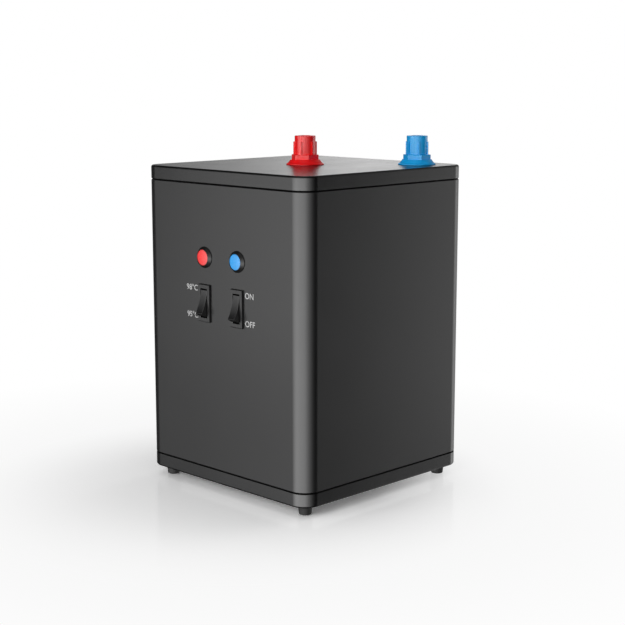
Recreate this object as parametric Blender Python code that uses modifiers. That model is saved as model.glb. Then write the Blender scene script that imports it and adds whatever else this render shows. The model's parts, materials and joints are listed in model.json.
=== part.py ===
"""Under-counter hot water tank: a square casing on four feet, two pilot lamps
and two rocker switches on the front, a red hot outlet and a blue cold inlet on
the lid, and the insulated vessel, heater and wiring that the casing holds.

Metres, +Z up. The origin is on the floor, under the middle of the casing. The
front panel faces -Y.
"""
import math

import bmesh
import bpy
from mathutils import Matrix, Vector

# Shared fits
FIT = 0.0003
OVERRUN = 0.002
MERGE = 0.00001
SMOOTH_ANGLE = math.radians(32)

# Casing
CASING_WIDTH = 0.190
CASING_DEPTH = 0.190
CASING_HEIGHT = 0.258
CORNER_RADIUS = 0.014
CORNER_SEGMENTS = 5
SEAM_GAP = 0.0010
LID_HEIGHT = 0.0115
BASE_HEIGHT = 0.0117
CAP_PLATE = 0.0025
CAP_EDGE = 0.0014
EDGE_SEGMENTS = 2
RIM_STEP = 0.0006
RIM_WALL = 0.0025
RIB_WALL = 0.0018
RIB_REACH = 0.0060
SLEEVE_WALL = 0.0012
HEM_REACH = 0.0062
HOOK_WIDTH = 0.016
HOOK_CATCH = 0.0011
HOOK_FACE = 0.0007
HOOK_SLOPE = 0.0026
HOOK_ROOT = 0.0009

# Feet
FOOT_HEIGHT = 0.0085
FOOT_INSET = 0.0143
FOOT_TOP_RADIUS = 0.0058
FOOT_BOTTOM_RADIUS = 0.0051
FOOT_EDGE = 0.0007
FOOT_NECK_RADIUS = 0.0030
FOOT_BARB_RADIUS = 0.0042
FOOT_BARB_HEIGHT = 0.0040
FOOT_DIMPLE_RADIUS = 0.0022
FOOT_DIMPLE_DEPTH = 0.0030
FOOT_STEPS = 12

# Walls and levels worked out from the casing and the feet
UNDERSIDE_Z = FOOT_HEIGHT
LID_TOP_Z = UNDERSIDE_Z + CASING_HEIGHT
FLOOR_Z = UNDERSIDE_Z + CAP_PLATE
CEILING_Z = LID_TOP_Z - CAP_PLATE
SLEEVE_LOW_Z = UNDERSIDE_Z + BASE_HEIGHT + SEAM_GAP / 2
SLEEVE_HIGH_Z = LID_TOP_Z - LID_HEIGHT - SEAM_GAP / 2
LEFT_X = -CASING_WIDTH / 2
RIGHT_X = CASING_WIDTH / 2
FRONT_Y = -CASING_DEPTH / 2
REAR_Y = CASING_DEPTH / 2
PANEL_FRAME = (math.pi / 2, 0, 0)
REAR_FRAME = (-math.pi / 2, 0, 0)

# Water connectors on the lid
HOT_X = 0.0
HOT_Y = 0.0
COLD_INSET = 0.0290
COLD_X = RIGHT_X - COLD_INSET
COLD_Y = REAR_Y - COLD_INSET
SKIRT_RADIUS = 0.01575
SKIRT_RIM = 0.0012
SKIRT_HEIGHT = 0.0043
SKIRT_TOP_RADIUS = 0.0123
COLLAR_RADIUS = 0.01195
COLLAR_TOP = 0.0093
COLLAR_EDGE = 0.0004
SPIGOT_RADIUS = 0.00875
SPIGOT_TOP = 0.0240
SPIGOT_EDGE = 0.0005
RIB_TOP = 0.0194
RIB_OUT = 0.0013
RIB_WIDTH = 0.0012
RIB_ROOT = 0.0008
RIB_FOOT = 0.0010
RIB_COUNT = 10
HOT_RIB_PHASE = math.radians(-66)
COLD_RIB_PHASE = math.radians(-39)
TAIL_RADIUS = 0.0090
CONNECTOR_BORE_RADIUS = 0.0046
SOCKET_DEPTH = 0.0080
WASHER_RADIUS = 0.0135
WASHER_THICKNESS = 0.0020
LOCK_NUT_RADIUS = 0.0150
LOCK_NUT_THICKNESS = 0.0070
TAIL_SPARE = 0.0014
CONNECTOR_STEPS = 22
WASHER_STEPS = 16

# Rocker switches
SWITCH_X = 0.0195
SWITCH_ABOVE_UNDERSIDE = 0.1496
BEZEL_WIDTH = 0.01325
BEZEL_HEIGHT = 0.0309
BEZEL_PROUD = 0.0018
BEZEL_EDGE = 0.0004
OPENING_WIDTH = 0.0081
OPENING_HEIGHT = 0.0239
SWITCH_BODY_WIDTH = 0.0114
SWITCH_BODY_HEIGHT = 0.0276
SWITCH_BODY_DEPTH = 0.0140
SWITCH_BARB_WIDTH = 0.0050
SWITCH_BARB_OUT = 0.0010
SWITCH_BARB_LENGTH = 0.0045
SWITCH_BARB_ROOT = 0.0006
ROCKER_SIDE_GAP = 0.00035
ROCKER_END_GAP = 0.0008
ROCKER_TILT = math.radians(17.5)
ROCKER_TIP_ANGLE = math.radians(63)
ROCKER_SKIRT_ANGLE = math.radians(114)
ROCKER_FACE_RADIUS = 0.040
ROCKER_EDGE = 0.0003
ROCKER_FACE_SEGMENTS = 10
ROCKER_END_SEGMENTS = 5
PIVOT_DEPTH = 0.0003
PIVOT_RADIUS = 0.0012
PIVOT_REACH = 0.0009
PIVOT_STEPS = 8
PLUG_THICKNESS = 0.0026

# Pilot lamps
LAMP_X = 0.0195
LAMP_ABOVE_SWITCH = 0.0374
LAMP_ABOVE_UNDERSIDE = SWITCH_ABOVE_UNDERSIDE + LAMP_ABOVE_SWITCH
LAMP_BASE_RADIUS = 0.0087
LAMP_RIM_RADIUS = 0.0075
LAMP_HEIGHT = 0.0038
LAMP_RIM_WIDTH = 0.0011
LAMP_SEAT = 0.0016
LAMP_BARREL_RADIUS = 0.0060
LAMP_BARREL_WALL = 0.0012
LAMP_BARREL_DEPTH = 0.0120
LENS_RECESS = 0.0009
LENS_CROWN = 0.0003
LENS_STEM_RADIUS = 0.0036
LENS_STEM_DEPTH = 0.0040
LAMP_NUT_RADIUS = 0.0085
LAMP_NUT_THICKNESS = 0.0030
LAMP_PLUG_FLANGE = 0.0016
LAMP_PLUG_DEPTH = 0.0030
LAMP_STEPS = 20

# Terminal blades behind lamps and switches
BLADE_WIDTH = 0.0048
BLADE_THICKNESS = 0.0008
BLADE_LENGTH = 0.0055
LAMP_BLADE_WIDTH = 0.0028
SWITCH_BLADE_SHARES = (-0.34, 0.0, 0.34)
LAMP_BLADE_SHARES = (-0.45, 0.45)

# Vessel and foam jacket, which fill the casing
JACKET_SIDE_GAP = 0.0138
JACKET_PANEL_GAP = 0.0220
JACKET_TOP_GAP = 0.0130
JACKET_RADIUS = min(RIGHT_X, REAR_Y) - SLEEVE_WALL - JACKET_SIDE_GAP
JACKET_FRONT_FLAT = REAR_Y - JACKET_PANEL_GAP
JACKET_TOP = CEILING_Z - JACKET_TOP_GAP
JACKET_INNER_GAP = 0.0006
JACKET_STUB_GAP = 0.0010
JACKET_SPLIT_GAP = 0.0004
FOAM_WALL = 0.0150
TANK_RADIUS = JACKET_RADIUS - FOAM_WALL
TANK_WALL = 0.0012
TANK_LIFT = 0.0470
TANK_TANGENT_LOW = FLOOR_Z + TANK_LIFT
TANK_HEAD_ROOM = 0.0360
TANK_TANGENT_HIGH = CEILING_Z - TANK_HEAD_ROOM
TANK_STEPS = 24
DOME_HEIGHT = 0.014
DOME_SEGMENTS = 4
NECK_RADIUS = 0.031
NECK_WALL = 0.0020
NECK_LIFT = 0.0260
NECK_FLANGE_RADIUS = 0.0400
NECK_FLANGE_THICKNESS = 0.0030
NECK_FLANGE_UNDERSIDE = FLOOR_Z + NECK_LIFT
STUB_RADIUS = 0.0075
STUB_HEAD_ROOM = 0.0160
STUB_TOP = CEILING_Z - STUB_HEAD_ROOM
PIPE_RADIUS = 0.0050
PIPE_BORE_RADIUS = 0.0040
COLD_PORT_RISE = 0.0140
COLD_PORT_Z = TANK_TANGENT_LOW + COLD_PORT_RISE
COLD_BOSS_LENGTH = 0.0120
COLD_BOSS_REACH = TANK_RADIUS + COLD_BOSS_LENGTH
COLD_PIPE_GAP = 0.0030
COLD_PIPE_END = TANK_RADIUS + COLD_PIPE_GAP
COLD_PIPE_BEND = 0.0155

# Stand under the vessel
STAND_INSET = 0.0040
STAND_WALL_RADIUS = TANK_RADIUS - STAND_INSET
STAND_WALL = 0.0030
STAND_SHELF_INSET = 0.0010
STAND_SHELF_RADIUS = JACKET_RADIUS - STAND_SHELF_INSET
STAND_SHELF = 0.0025
STAND_FLANGE_REACH = 0.0050
STAND_FLANGE_RADIUS = STAND_WALL_RADIUS + STAND_FLANGE_REACH
STAND_FLANGE = 0.0030
SEAT_INSET = 0.0010
SEAT_OUTER_RADIUS = TANK_RADIUS - SEAT_INSET
SEAT_POINTS = 2
WINDOW_WIDTH = 0.0440
WINDOW_SILL = 0.0070
WINDOW_HEIGHT = 0.0280
LOCATING_RING_WALL = 0.0016
LOCATING_RING_HEIGHT = 0.0030

# Heater flange and what it carries
GASKET_THICKNESS = 0.0020
PLATE_THICKNESS = 0.0030
BOLT_CIRCLE_RADIUS = 0.0355
BOLT_COUNT = 4
BOLT_RADIUS = 0.0024
BOLT_HEAD_RADIUS = 0.0046
BOLT_HEAD_HEIGHT = 0.0034
BOLT_SPARE = 0.0020
BOLT_STEPS = 8
ELEMENT_RADIUS = 0.0040
ELEMENT_HALF_WIDTH = 0.016
ELEMENT_HALF_DEPTH = 0.010
ELEMENT_RISE = 0.1540
ELEMENT_TOP = FLOOR_Z + ELEMENT_RISE
ELEMENT_BEND_RISE = 0.0530
ELEMENT_LOW_BEND = FLOOR_Z + ELEMENT_BEND_RISE
ELEMENT_BELOW_PLATE = 0.005
ELEMENT_ARC_SEGMENTS = 5
POCKET_Y = -0.0225
POCKET_RADIUS = 0.0032
POCKET_WALL = 0.0007
POCKET_RISE = 0.0840
POCKET_TOP = FLOOR_Z + POCKET_RISE
POCKET_FLANGE_RADIUS = 0.0058
POCKET_FLANGE = 0.0025
SENSOR_BELOW = 0.006
CUTOUT_Y = 0.0200
CUTOUT_RADIUS = 0.0085
CUTOUT_CAP = 0.0025
CUTOUT_CAP_RADIUS = 0.0100
CUTOUT_HEIGHT = 0.0080
CUTOUT_BLADE_SPREAD = 0.0085
EARTH_X = 0.0285
EARTH_RADIUS = 0.0020
EARTH_LENGTH = 0.0090

# Drain through the heater flange and the base
DRAIN_X = -0.0220
DRAIN_Y = 0.0080
DRAIN_BORE_RADIUS = 0.0036
DRAIN_TUBE_RISE = 0.0030
DRAIN_TUBE_DROP = 0.0040
DRAIN_PLUG_RADIUS = 0.0085
DRAIN_PLUG_DROP = 0.0063

# Control board on the left wall
BRACKET_DEPTH_Y = 0.056
BRACKET_HEIGHT = 0.110
BRACKET_THICKNESS = 0.0015
BRACKET_LIFT = 0.0490
BRACKET_CORNER_GAP = 0.0012
STANDOFF_RADIUS = 0.0028
STANDOFF_LENGTH = 0.0050
BOARD_DEPTH_Y = 0.050
BOARD_HEIGHT = 0.100
BOARD_THICKNESS = 0.0016
BOARD_HOLE_RADIUS = 0.0016
BOARD_HOLE_SHARE = 0.44
TRANSFORMER_SIZE = (0.0180, 0.0220, 0.0260)
TRANSFORMER_SHARES = (-0.20, 0.22)
RELAY_SIZE = (0.0150, 0.0190, 0.0155)
RELAY_SHARES = (-0.24, -0.12)
HEADER_SIZE = (0.0080, 0.0100, 0.0160)
HEADER_SHARES = (0.16, -0.34)
HEADER_LEAD_SHARE = 0.33

# Mains side at the rear
BLOCK_WIDTH = 0.054
BLOCK_DEPTH = 0.0145
BLOCK_HEIGHT = 0.0150
BLOCK_SHOULDER = 0.0045
BLOCK_ENTRY_HEIGHT = 0.0085
BLOCK_POLES = 3
BLOCK_WELL_RADIUS = 0.0028
BLOCK_WELL_DEPTH = 0.0060
BLOCK_WALL_GAP = 0.0183
BLOCK_Y = REAR_Y - BLOCK_WALL_GAP
GLAND_INSET = 0.0350
GLAND_X = LEFT_X + GLAND_INSET
GLAND_ABOVE_UNDERSIDE = 0.0320
GLAND_FLANGE_RADIUS = 0.0100
GLAND_FLANGE = 0.0026
GLAND_DOME_RADIUS = 0.0082
GLAND_MOUTH_RADIUS = 0.0058
GLAND_REACH = 0.0080
GLAND_THREAD_RADIUS = 0.0060
GLAND_THREAD_DEPTH = 0.0110
GLAND_BORE_RADIUS = 0.0037
GLAND_NUT_RADIUS = 0.0095
GLAND_NUT_THICKNESS = 0.0040
GLAND_STEPS = 16

# Vent slots through the base
SLOT_LENGTH = 0.036
SLOT_WIDTH = 0.0026
SLOT_PITCH = 0.0050
SLOT_COUNT = 3
SLOT_INSET = 0.0230
SLOT_FIRST = RIGHT_X - SLOT_INSET

# Leads
LEAD_RADIUS = 0.0011
LEAD_SAMPLES = 2
LEAD_STUB = 0.0022

# Ways of the leads: from the vessel's axis on the base plate, from the panel's foot,
# from the switches' middle on the panel, and from the foot of the front left corner
POWER_FLOOR_WAY = ((0.0195, 0.0400, 0.0090), (0.0199, 0.0000, 0.0090), (0.0198, -0.0500, 0.0095))
POWER_PANEL_WAY = ((0.0195, 0.0210, 0.0130), (0.0195, 0.0120, 0.0290))
POWER_SWITCH_WAY = ((0.0195, 0.0115, -0.0681), (0.0195, 0.0120, -0.0281), (0.0195, 0.0150, -0.0161))
SWITCHED_SWITCH_WAY = ((0.0180, 0.0155, 0.0159), (0.0100, 0.0130, 0.0219), (-0.0200, 0.0130, 0.0219),
                       (-0.0450, 0.0150, 0.0119))
SWITCHED_CORNER_WAY = ((0.0370, 0.0210, 0.1340), (0.0330, 0.0290, 0.1040), (0.0270, 0.0430, 0.0850))
SELECTOR_SWITCH_WAY = ((-0.0200, 0.0140, -0.0181), (-0.0320, 0.0120, -0.0381))
SELECTOR_CORNER_WAY = ((0.0470, 0.0150, 0.0870), (0.0330, 0.0310, 0.0750), (0.0255, 0.0450, 0.0705))
ELEMENT_LIVE_WAY = ((0.0060, 0.0165, 0.0030), (0.0100, 0.0060, 0.0025), (0.0150, -0.0060, 0.0040))
NEUTRAL_WAY = ((-0.0185, 0.0450, 0.0090), (-0.0130, 0.0200, 0.0040), (-0.0125, 0.0000, 0.0035))
EARTH_WAY = ((0.0110, 0.0430, 0.0090), (0.0230, 0.0220, 0.0030), (0.0280, 0.0060, 0.0035))
SENSOR_FLOOR_WAY = ((-0.0020, -0.0320, 0.0085), (-0.0050, -0.0480, 0.0090))
SENSOR_PANEL_WAY = ((-0.0110, 0.0270, 0.0100), (-0.0220, 0.0130, 0.0190))
SENSOR_CORNER_WAY = ((0.0510, 0.0140, 0.0390), (0.0330, 0.0270, 0.0550), (0.0255, 0.0450, 0.0630))

# Places worked out from the sizes above
TAIL_LENGTH = CAP_PLATE + WASHER_THICKNESS + LOCK_NUT_THICKNESS + TAIL_SPARE + 2 * FIT
GASKET_TOP_Z = NECK_FLANGE_UNDERSIDE - FIT
PLATE_TOP_Z = GASKET_TOP_Z - GASKET_THICKNESS - FIT
PLATE_LOW_Z = PLATE_TOP_Z - PLATE_THICKNESS
BRACKET_X = LEFT_X + SLEEVE_WALL + FIT
STANDOFF_END_X = BRACKET_X + BRACKET_THICKNESS + STANDOFF_LENGTH
BOARD_X = STANDOFF_END_X + FIT
BOARD_FACE_X = BOARD_X + BOARD_THICKNESS
BOARD_Y = FRONT_Y + CORNER_RADIUS + BRACKET_CORNER_GAP + BRACKET_DEPTH_Y / 2
BOARD_Z = FLOOR_Z + BRACKET_LIFT + BRACKET_HEIGHT / 2


def clear_scene():
    """Remove whatever the scene holds."""
    for item in list(bpy.data.objects):
        bpy.data.objects.remove(item, do_unlink=True)


def new_collection(name):
    """Make a collection in the scene."""
    collection = bpy.data.collections.new(name)
    bpy.context.scene.collection.children.link(collection)
    return collection


clear_scene()
PARTS = new_collection("hot_water_tank")
CUTTERS = new_collection("tool_bodies")


def material(name, color, roughness, metallic=0.0):
    """A Principled material with one colour."""
    made = bpy.data.materials.new(name)
    made.use_nodes = True
    shader = made.node_tree.nodes["Principled BSDF"]
    shader.inputs["Base Color"].default_value = (*color, 1.0)
    shader.inputs["Roughness"].default_value = roughness
    shader.inputs["Metallic"].default_value = metallic
    made.diffuse_color = (*color, 1.0)
    return made


def link(item, collection):
    """Put an object in one collection, and mark a tool body as one."""
    for owner in list(item.users_collection):
        owner.objects.unlink(item)
    collection.objects.link(item)
    if collection is CUTTERS:
        item.hide_render = True
        item.display_type = "WIRE"
    return item


def dress(item, finish):
    """Give an object its material."""
    item.data.materials.clear()
    item.data.materials.append(finish)
    return item


def empty(name, location, rotation=(0, 0, 0)):
    """A parent that carries the pieces of one sub-assembly."""
    holder = bpy.data.objects.new(name, None)
    holder.location = location
    holder.rotation_euler = rotation
    PARTS.objects.link(holder)
    return holder


def place(item, location=(0, 0, 0), rotation=(0, 0, 0), parent=None):
    """Set an object under its parent."""
    item.location = location
    item.rotation_euler = rotation
    item.parent = parent
    return item


def mesh_from(name, bm, collection):
    """Turn an edit mesh into an object."""
    mesh = bpy.data.meshes.new(name)
    bmesh.ops.recalc_face_normals(bm, faces=bm.faces)
    bm.to_mesh(mesh)
    bm.free()
    item = bpy.data.objects.new(name, mesh)
    return link(item, collection)


def baked(item):
    """Swap an object's data for its evaluated mesh, smooth on its round faces."""
    bpy.context.view_layer.update()
    graph = bpy.context.evaluated_depsgraph_get()
    mesh = bpy.data.meshes.new_from_object(item.evaluated_get(graph))
    bm = bmesh.new()
    bm.from_mesh(mesh)
    bmesh.ops.remove_doubles(bm, verts=bm.verts, dist=MERGE)
    bm.to_mesh(mesh)
    bm.free()
    mesh.shade_smooth()
    mesh.set_sharp_from_angle(angle=SMOOTH_ANGLE)
    result = bpy.data.objects.new(item.name, mesh)
    result.matrix_world = item.matrix_world.copy()
    name = item.name
    owner = item.users_collection[0]
    bpy.data.objects.remove(item, do_unlink=True)
    result.name = name
    return link(result, owner)


def turned(name, profile, steps, collection, closed=False):
    """Turn a profile of (radius, height) points about local Z.

    The outer side runs from top to bottom. A closed profile makes a ring.
    """
    mesh = bpy.data.meshes.new(name)
    points = [(radius, 0, height) for radius, height in profile]
    edges = [(index, index + 1) for index in range(len(points) - 1)]
    if closed:
        edges.append((len(points) - 1, 0))
    mesh.from_pydata(points, edges, [])
    item = link(bpy.data.objects.new(name, mesh), collection)
    screw = item.modifiers.new("turn", "SCREW")
    screw.axis = "Z"
    screw.steps = steps
    screw.render_steps = steps
    screw.use_merge_vertices = True
    screw.merge_threshold = MERGE
    return baked(item)


def box(name, size, centre, collection, parent=None, edge=0.0):
    """A block of the given size, with its edges eased if asked."""
    bm = bmesh.new()
    bmesh.ops.create_cube(bm, size=1.0)
    bmesh.ops.scale(bm, vec=size, verts=bm.verts)
    if edge > 0:
        bmesh.ops.bevel(bm, geom=list(bm.edges), offset=edge, segments=1, affect="EDGES")
    return place(mesh_from(name, bm, collection), centre, parent=parent)


def prism(name, radius, low, high, sides, collection, parent=None, centre=(0, 0), turn=0.0):
    """A round or many-sided bar along local Z, from low to high."""
    bm = bmesh.new()
    bmesh.ops.create_cone(bm, cap_ends=True, segments=sides, radius1=radius, radius2=radius,
                          depth=high - low)
    bar = mesh_from(name, bm, collection)
    bar.data.shade_smooth()
    bar.data.set_sharp_from_angle(angle=SMOOTH_ANGLE)
    return place(bar, (*centre, (low + high) / 2), (0, 0, turn), parent)


def outline_solid(name, points, thickness, collection):
    """A flat outline in local XY, given its thickness along local Z."""
    curve = bpy.data.curves.new(name, "CURVE")
    curve.dimensions = "2D"
    curve.fill_mode = "BOTH"
    curve.extrude = thickness / 2
    spline = curve.splines.new("POLY")
    spline.points.add(len(points) - 1)
    for target, (x, y) in zip(spline.points, points):
        target.co = (x, y, 0, 1)
    spline.use_cyclic_u = True
    return baked(link(bpy.data.objects.new(name, curve), collection))


def tube(name, points, radius, collection, resolution=2):
    """A round bar along a path, with its ends filled."""
    curve = bpy.data.curves.new(name, "CURVE")
    curve.dimensions = "3D"
    curve.bevel_depth = radius
    curve.bevel_resolution = resolution
    curve.use_fill_caps = True
    spline = curve.splines.new("POLY")
    spline.points.add(len(points) - 1)
    for target, point in zip(spline.points, points):
        target.co = (*point, 1)
    return baked(link(bpy.data.objects.new(name, curve), collection))


def boolean(target, tool, operation="DIFFERENCE"):
    """Cut or join a tool body into a piece."""
    change = target.modifiers.new(operation.lower(), "BOOLEAN")
    change.operation = operation
    change.solver = "EXACT"
    change.object = tool
    return target


def join(target, tool):
    """Join a tool body to a piece."""
    return boolean(target, tool, "UNION")


def set_axes(item, origin, x_axis, y_axis):
    """Place an object so that its local X and Y lie along the given directions."""
    first = Vector(x_axis).normalized()
    second = Vector(y_axis).normalized()
    third = first.cross(second)
    turn = Matrix((first, second, third)).transposed().to_4x4()
    item.matrix_world = Matrix.Translation(origin) @ turn
    return item


# Finishes
CASING_BLACK = material("casing_black", (0.032, 0.032, 0.034), 0.42)
MOULDED_BLACK = material("moulded_black", (0.024, 0.024, 0.026), 0.45)
SWITCH_BLACK = material("switch_black", (0.016, 0.016, 0.017), 0.32)
RUBBER_BLACK = material("rubber_black", (0.012, 0.012, 0.012), 0.75)
HOT_RED = material("hot_red", (0.70, 0.008, 0.012), 0.30)
COLD_BLUE = material("cold_blue", (0.0, 0.19, 0.52), 0.30)
LENS_RED = material("lens_red", (0.90, 0.05, 0.05), 0.20)
LENS_BLUE = material("lens_blue", (0.06, 0.38, 0.85), 0.20)
STAINLESS = material("stainless", (0.62, 0.62, 0.60), 0.28, 1.0)
BRASS = material("brass", (0.72, 0.52, 0.25), 0.35, 1.0)
FOAM_WHITE = material("foam_white", (0.85, 0.85, 0.83), 0.85)
NYLON_WHITE = material("nylon_white", (0.78, 0.77, 0.72), 0.50)
SILICONE_RED = material("silicone_red", (0.55, 0.10, 0.07), 0.60)
BOARD_GREEN = material("board_green", (0.03, 0.22, 0.09), 0.45)
PART_BLUE = material("part_blue", (0.05, 0.12, 0.45), 0.40)
CORE_GREY = material("core_grey", (0.20, 0.20, 0.21), 0.45)
LEAD_RED = material("lead_red", (0.60, 0.03, 0.02), 0.50)
LEAD_BLUE = material("lead_blue", (0.03, 0.10, 0.55), 0.50)
LEAD_GREEN = material("lead_green", (0.05, 0.40, 0.06), 0.50)
LEAD_BLACK = material("lead_black", (0.015, 0.015, 0.015), 0.50)


def rounded_block(height):
    """An edit mesh of the casing's plan, from z 0 up to the height."""
    bm = bmesh.new()
    bmesh.ops.create_cube(bm, size=1.0)
    bmesh.ops.scale(bm, vec=(CASING_WIDTH, CASING_DEPTH, height), verts=bm.verts)
    bmesh.ops.translate(bm, vec=(0, 0, height / 2), verts=bm.verts)
    uprights = [edge for edge in bm.edges
                if abs(edge.verts[0].co.z - edge.verts[1].co.z) > height / 2]
    bmesh.ops.bevel(bm, geom=uprights, offset=CORNER_RADIUS, segments=CORNER_SEGMENTS,
                    profile=0.5, affect="EDGES")
    return bm


def flat_face(bm, top):
    """The flat end face of a block: its top, or its bottom."""
    sign = 1 if top else -1
    flats = [face for face in bm.faces if face.normal.z * sign > 1 - MERGE]
    return max(flats, key=lambda face: face.calc_center_median().z * sign)


def step_face(bm, face, inset, rise):
    """Inset a flat face, then draw what is left of it up or down."""
    bmesh.ops.inset_region(bm, faces=[face], thickness=inset, use_even_offset=True)
    made = bmesh.ops.extrude_face_region(bm, geom=[face])
    moved = [item for item in made["geom"] if isinstance(item, bmesh.types.BMVert)]
    bmesh.ops.translate(bm, vec=(0, 0, rise), verts=moved)
    bmesh.ops.delete(bm, geom=[face], context="FACES_ONLY")
    return [item for item in made["geom"] if isinstance(item, bmesh.types.BMFace)][0]


def cap(name, cap_height):
    """A tray with an outer rim, a ledge that carries the sleeve's hem and an inner rib.

    Local z 0 is the outer face, and the cavity opens towards +Z.
    """
    rim = cap_height - SEAM_GAP / 2
    ledge = SEAM_GAP - FIT
    rib = rim + SEAM_GAP + RIB_REACH - CAP_PLATE
    bm = rounded_block(rim)
    outer_edges = list(flat_face(bm, False).edges)
    bmesh.ops.bevel(bm, geom=outer_edges, offset=CAP_EDGE, segments=EDGE_SEGMENTS,
                    profile=0.5, affect="EDGES")
    face = flat_face(bm, True)
    face = step_face(bm, face, RIM_STEP, ledge)
    face = step_face(bm, face, RIM_WALL - RIM_STEP, CAP_PLATE - rim - ledge)
    face = step_face(bm, face, HEM_REACH + FIT - RIM_WALL, rib)
    step_face(bm, face, RIB_WALL, -rib)
    tray = mesh_from(name, bm, PARTS)
    tray.data.shade_smooth()
    tray.data.set_sharp_from_angle(angle=SMOOTH_ANGLE)
    return dress(tray, MOULDED_BLACK)


def add_hooks(tray, cap_height, outward_z):
    """Four snap hooks on the inner rib, which catch behind the sleeve's hem."""
    hem_back = cap_height + SEAM_GAP / 2 + SLEEVE_WALL + FIT
    outer_z = UNDERSIDE_Z if outward_z < 0 else LID_TOP_Z
    sides = ((1, 0, CASING_WIDTH), (-1, 0, CASING_WIDTH), (0, 1, CASING_DEPTH), (0, -1, CASING_DEPTH))
    for index, (x, y, span) in enumerate(sides):
        hook_points = [(-HOOK_ROOT, 0), (HOOK_CATCH, 0), (HOOK_CATCH, HOOK_FACE),
                       (0, HOOK_FACE + HOOK_SLOPE), (-HOOK_ROOT, HOOK_FACE + HOOK_SLOPE)]
        hook = outline_solid(f"{tray.name}_hook_{index}", hook_points, HOOK_WIDTH, CUTTERS)
        reach = span / 2 - HEM_REACH - FIT
        origin = (x * reach, y * reach, outer_z - outward_z * hem_back)
        set_axes(hook, origin, (x, y, 0), (0, 0, -outward_z))
        join(tray, hook)


def build_base_cap():
    """The base tray, with holes for the feet and the drain, vents and a locating ring."""
    tray = place(cap("base_cap", BASE_HEIGHT), (0, 0, UNDERSIDE_Z))
    add_hooks(tray, BASE_HEIGHT, -1)
    ring_outer = STAND_FLANGE_RADIUS + FIT + LOCATING_RING_WALL
    ring_low = -CAP_PLATE / 2
    ring = turned("locating_ring",
                  [(ring_outer, LOCATING_RING_HEIGHT), (ring_outer, ring_low),
                   (STAND_FLANGE_RADIUS + FIT, ring_low),
                   (STAND_FLANGE_RADIUS + FIT, LOCATING_RING_HEIGHT)],
                  TANK_STEPS, CUTTERS, closed=True)
    join(tray, place(ring, (0, 0, FLOOR_Z)))
    for name, x, y in foot_places():
        hole = prism(f"{name}_hole", FOOT_NECK_RADIUS + FIT, UNDERSIDE_Z - OVERRUN,
                     FLOOR_Z + OVERRUN, FOOT_STEPS, CUTTERS, centre=(x, y))
        boolean(tray, hole)
    drain = prism("drain_hole", PIPE_RADIUS + FIT, UNDERSIDE_Z - OVERRUN, FLOOR_Z + OVERRUN,
                  FOOT_STEPS, CUTTERS, centre=(DRAIN_X, DRAIN_Y))
    boolean(tray, drain)
    for side in (-1, 1):
        for index in range(SLOT_COUNT):
            slot = box(f"vent_slot_{side}_{index}", (SLOT_WIDTH, SLOT_LENGTH, CAP_PLATE + 2 * OVERRUN),
                       (side * (SLOT_FIRST + index * SLOT_PITCH), 0, UNDERSIDE_Z + CAP_PLATE / 2),
                       CUTTERS)
            boolean(tray, slot)
    return tray


def build_top_cap():
    """The lid: the same tray turned over, with a hole for each connector."""
    lid = place(cap("top_cap", LID_HEIGHT), (0, 0, LID_TOP_Z), (math.pi, 0, 0))
    add_hooks(lid, LID_HEIGHT, 1)
    for name, x, y in (("hot_hole", HOT_X, HOT_Y), ("cold_hole", COLD_X, COLD_Y)):
        hole = prism(name, TAIL_RADIUS + FIT, CEILING_Z - OVERRUN, LID_TOP_Z + OVERRUN,
                     CONNECTOR_STEPS, CUTTERS, centre=(x, y))
        boolean(lid, hole)
    return lid


def build_body_sleeve():
    """A folded sheet sleeve: rounded corners, and a hem turned in at each end."""
    height = SLEEVE_HIGH_Z - SLEEVE_LOW_Z
    bm = rounded_block(height)
    for top in (True, False):
        face = flat_face(bm, top)
        bmesh.ops.inset_region(bm, faces=[face], thickness=HEM_REACH, use_even_offset=True)
        bmesh.ops.delete(bm, geom=[face], context="FACES")
    sleeve = place(mesh_from("body_sleeve", bm, PARTS), (0, 0, SLEEVE_LOW_Z))
    sheet = sleeve.modifiers.new("sheet", "SOLIDIFY")
    sheet.thickness = SLEEVE_WALL
    sheet.offset = -1
    sheet.use_even_offset = True
    sleeve.data.shade_smooth()
    sleeve.data.set_sharp_from_angle(angle=SMOOTH_ANGLE)
    return dress(sleeve, CASING_BLACK)


def foot_places():
    """Each foot's name and plan position, concentric with its corner."""
    reach_x = CASING_WIDTH / 2 - FOOT_INSET
    reach_y = CASING_DEPTH / 2 - FOOT_INSET
    return (("foot_front_left", -reach_x, -reach_y), ("foot_front_right", reach_x, -reach_y),
            ("foot_rear_left", -reach_x, reach_y), ("foot_rear_right", reach_x, reach_y))


def build_feet():
    """Tapered rubber feet, each held by a barb above the base plate."""
    seat = FOOT_HEIGHT - FIT
    barb = FLOOR_Z + FIT
    profile = [(0, barb + FOOT_BARB_HEIGHT), (FOOT_NECK_RADIUS, barb + FOOT_BARB_HEIGHT),
               (FOOT_BARB_RADIUS, barb), (FOOT_NECK_RADIUS, barb), (FOOT_NECK_RADIUS, seat),
               (FOOT_TOP_RADIUS, seat), (FOOT_BOTTOM_RADIUS, FOOT_EDGE),
               (FOOT_BOTTOM_RADIUS - FOOT_EDGE, 0), (FOOT_DIMPLE_RADIUS, 0),
               (FOOT_DIMPLE_RADIUS, FOOT_DIMPLE_DEPTH), (0, FOOT_DIMPLE_DEPTH)]
    for name, x, y in foot_places():
        foot = turned(name, profile, FOOT_STEPS, PARTS)
        dress(place(foot, (x, y, 0)), RUBBER_BLACK)


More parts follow.
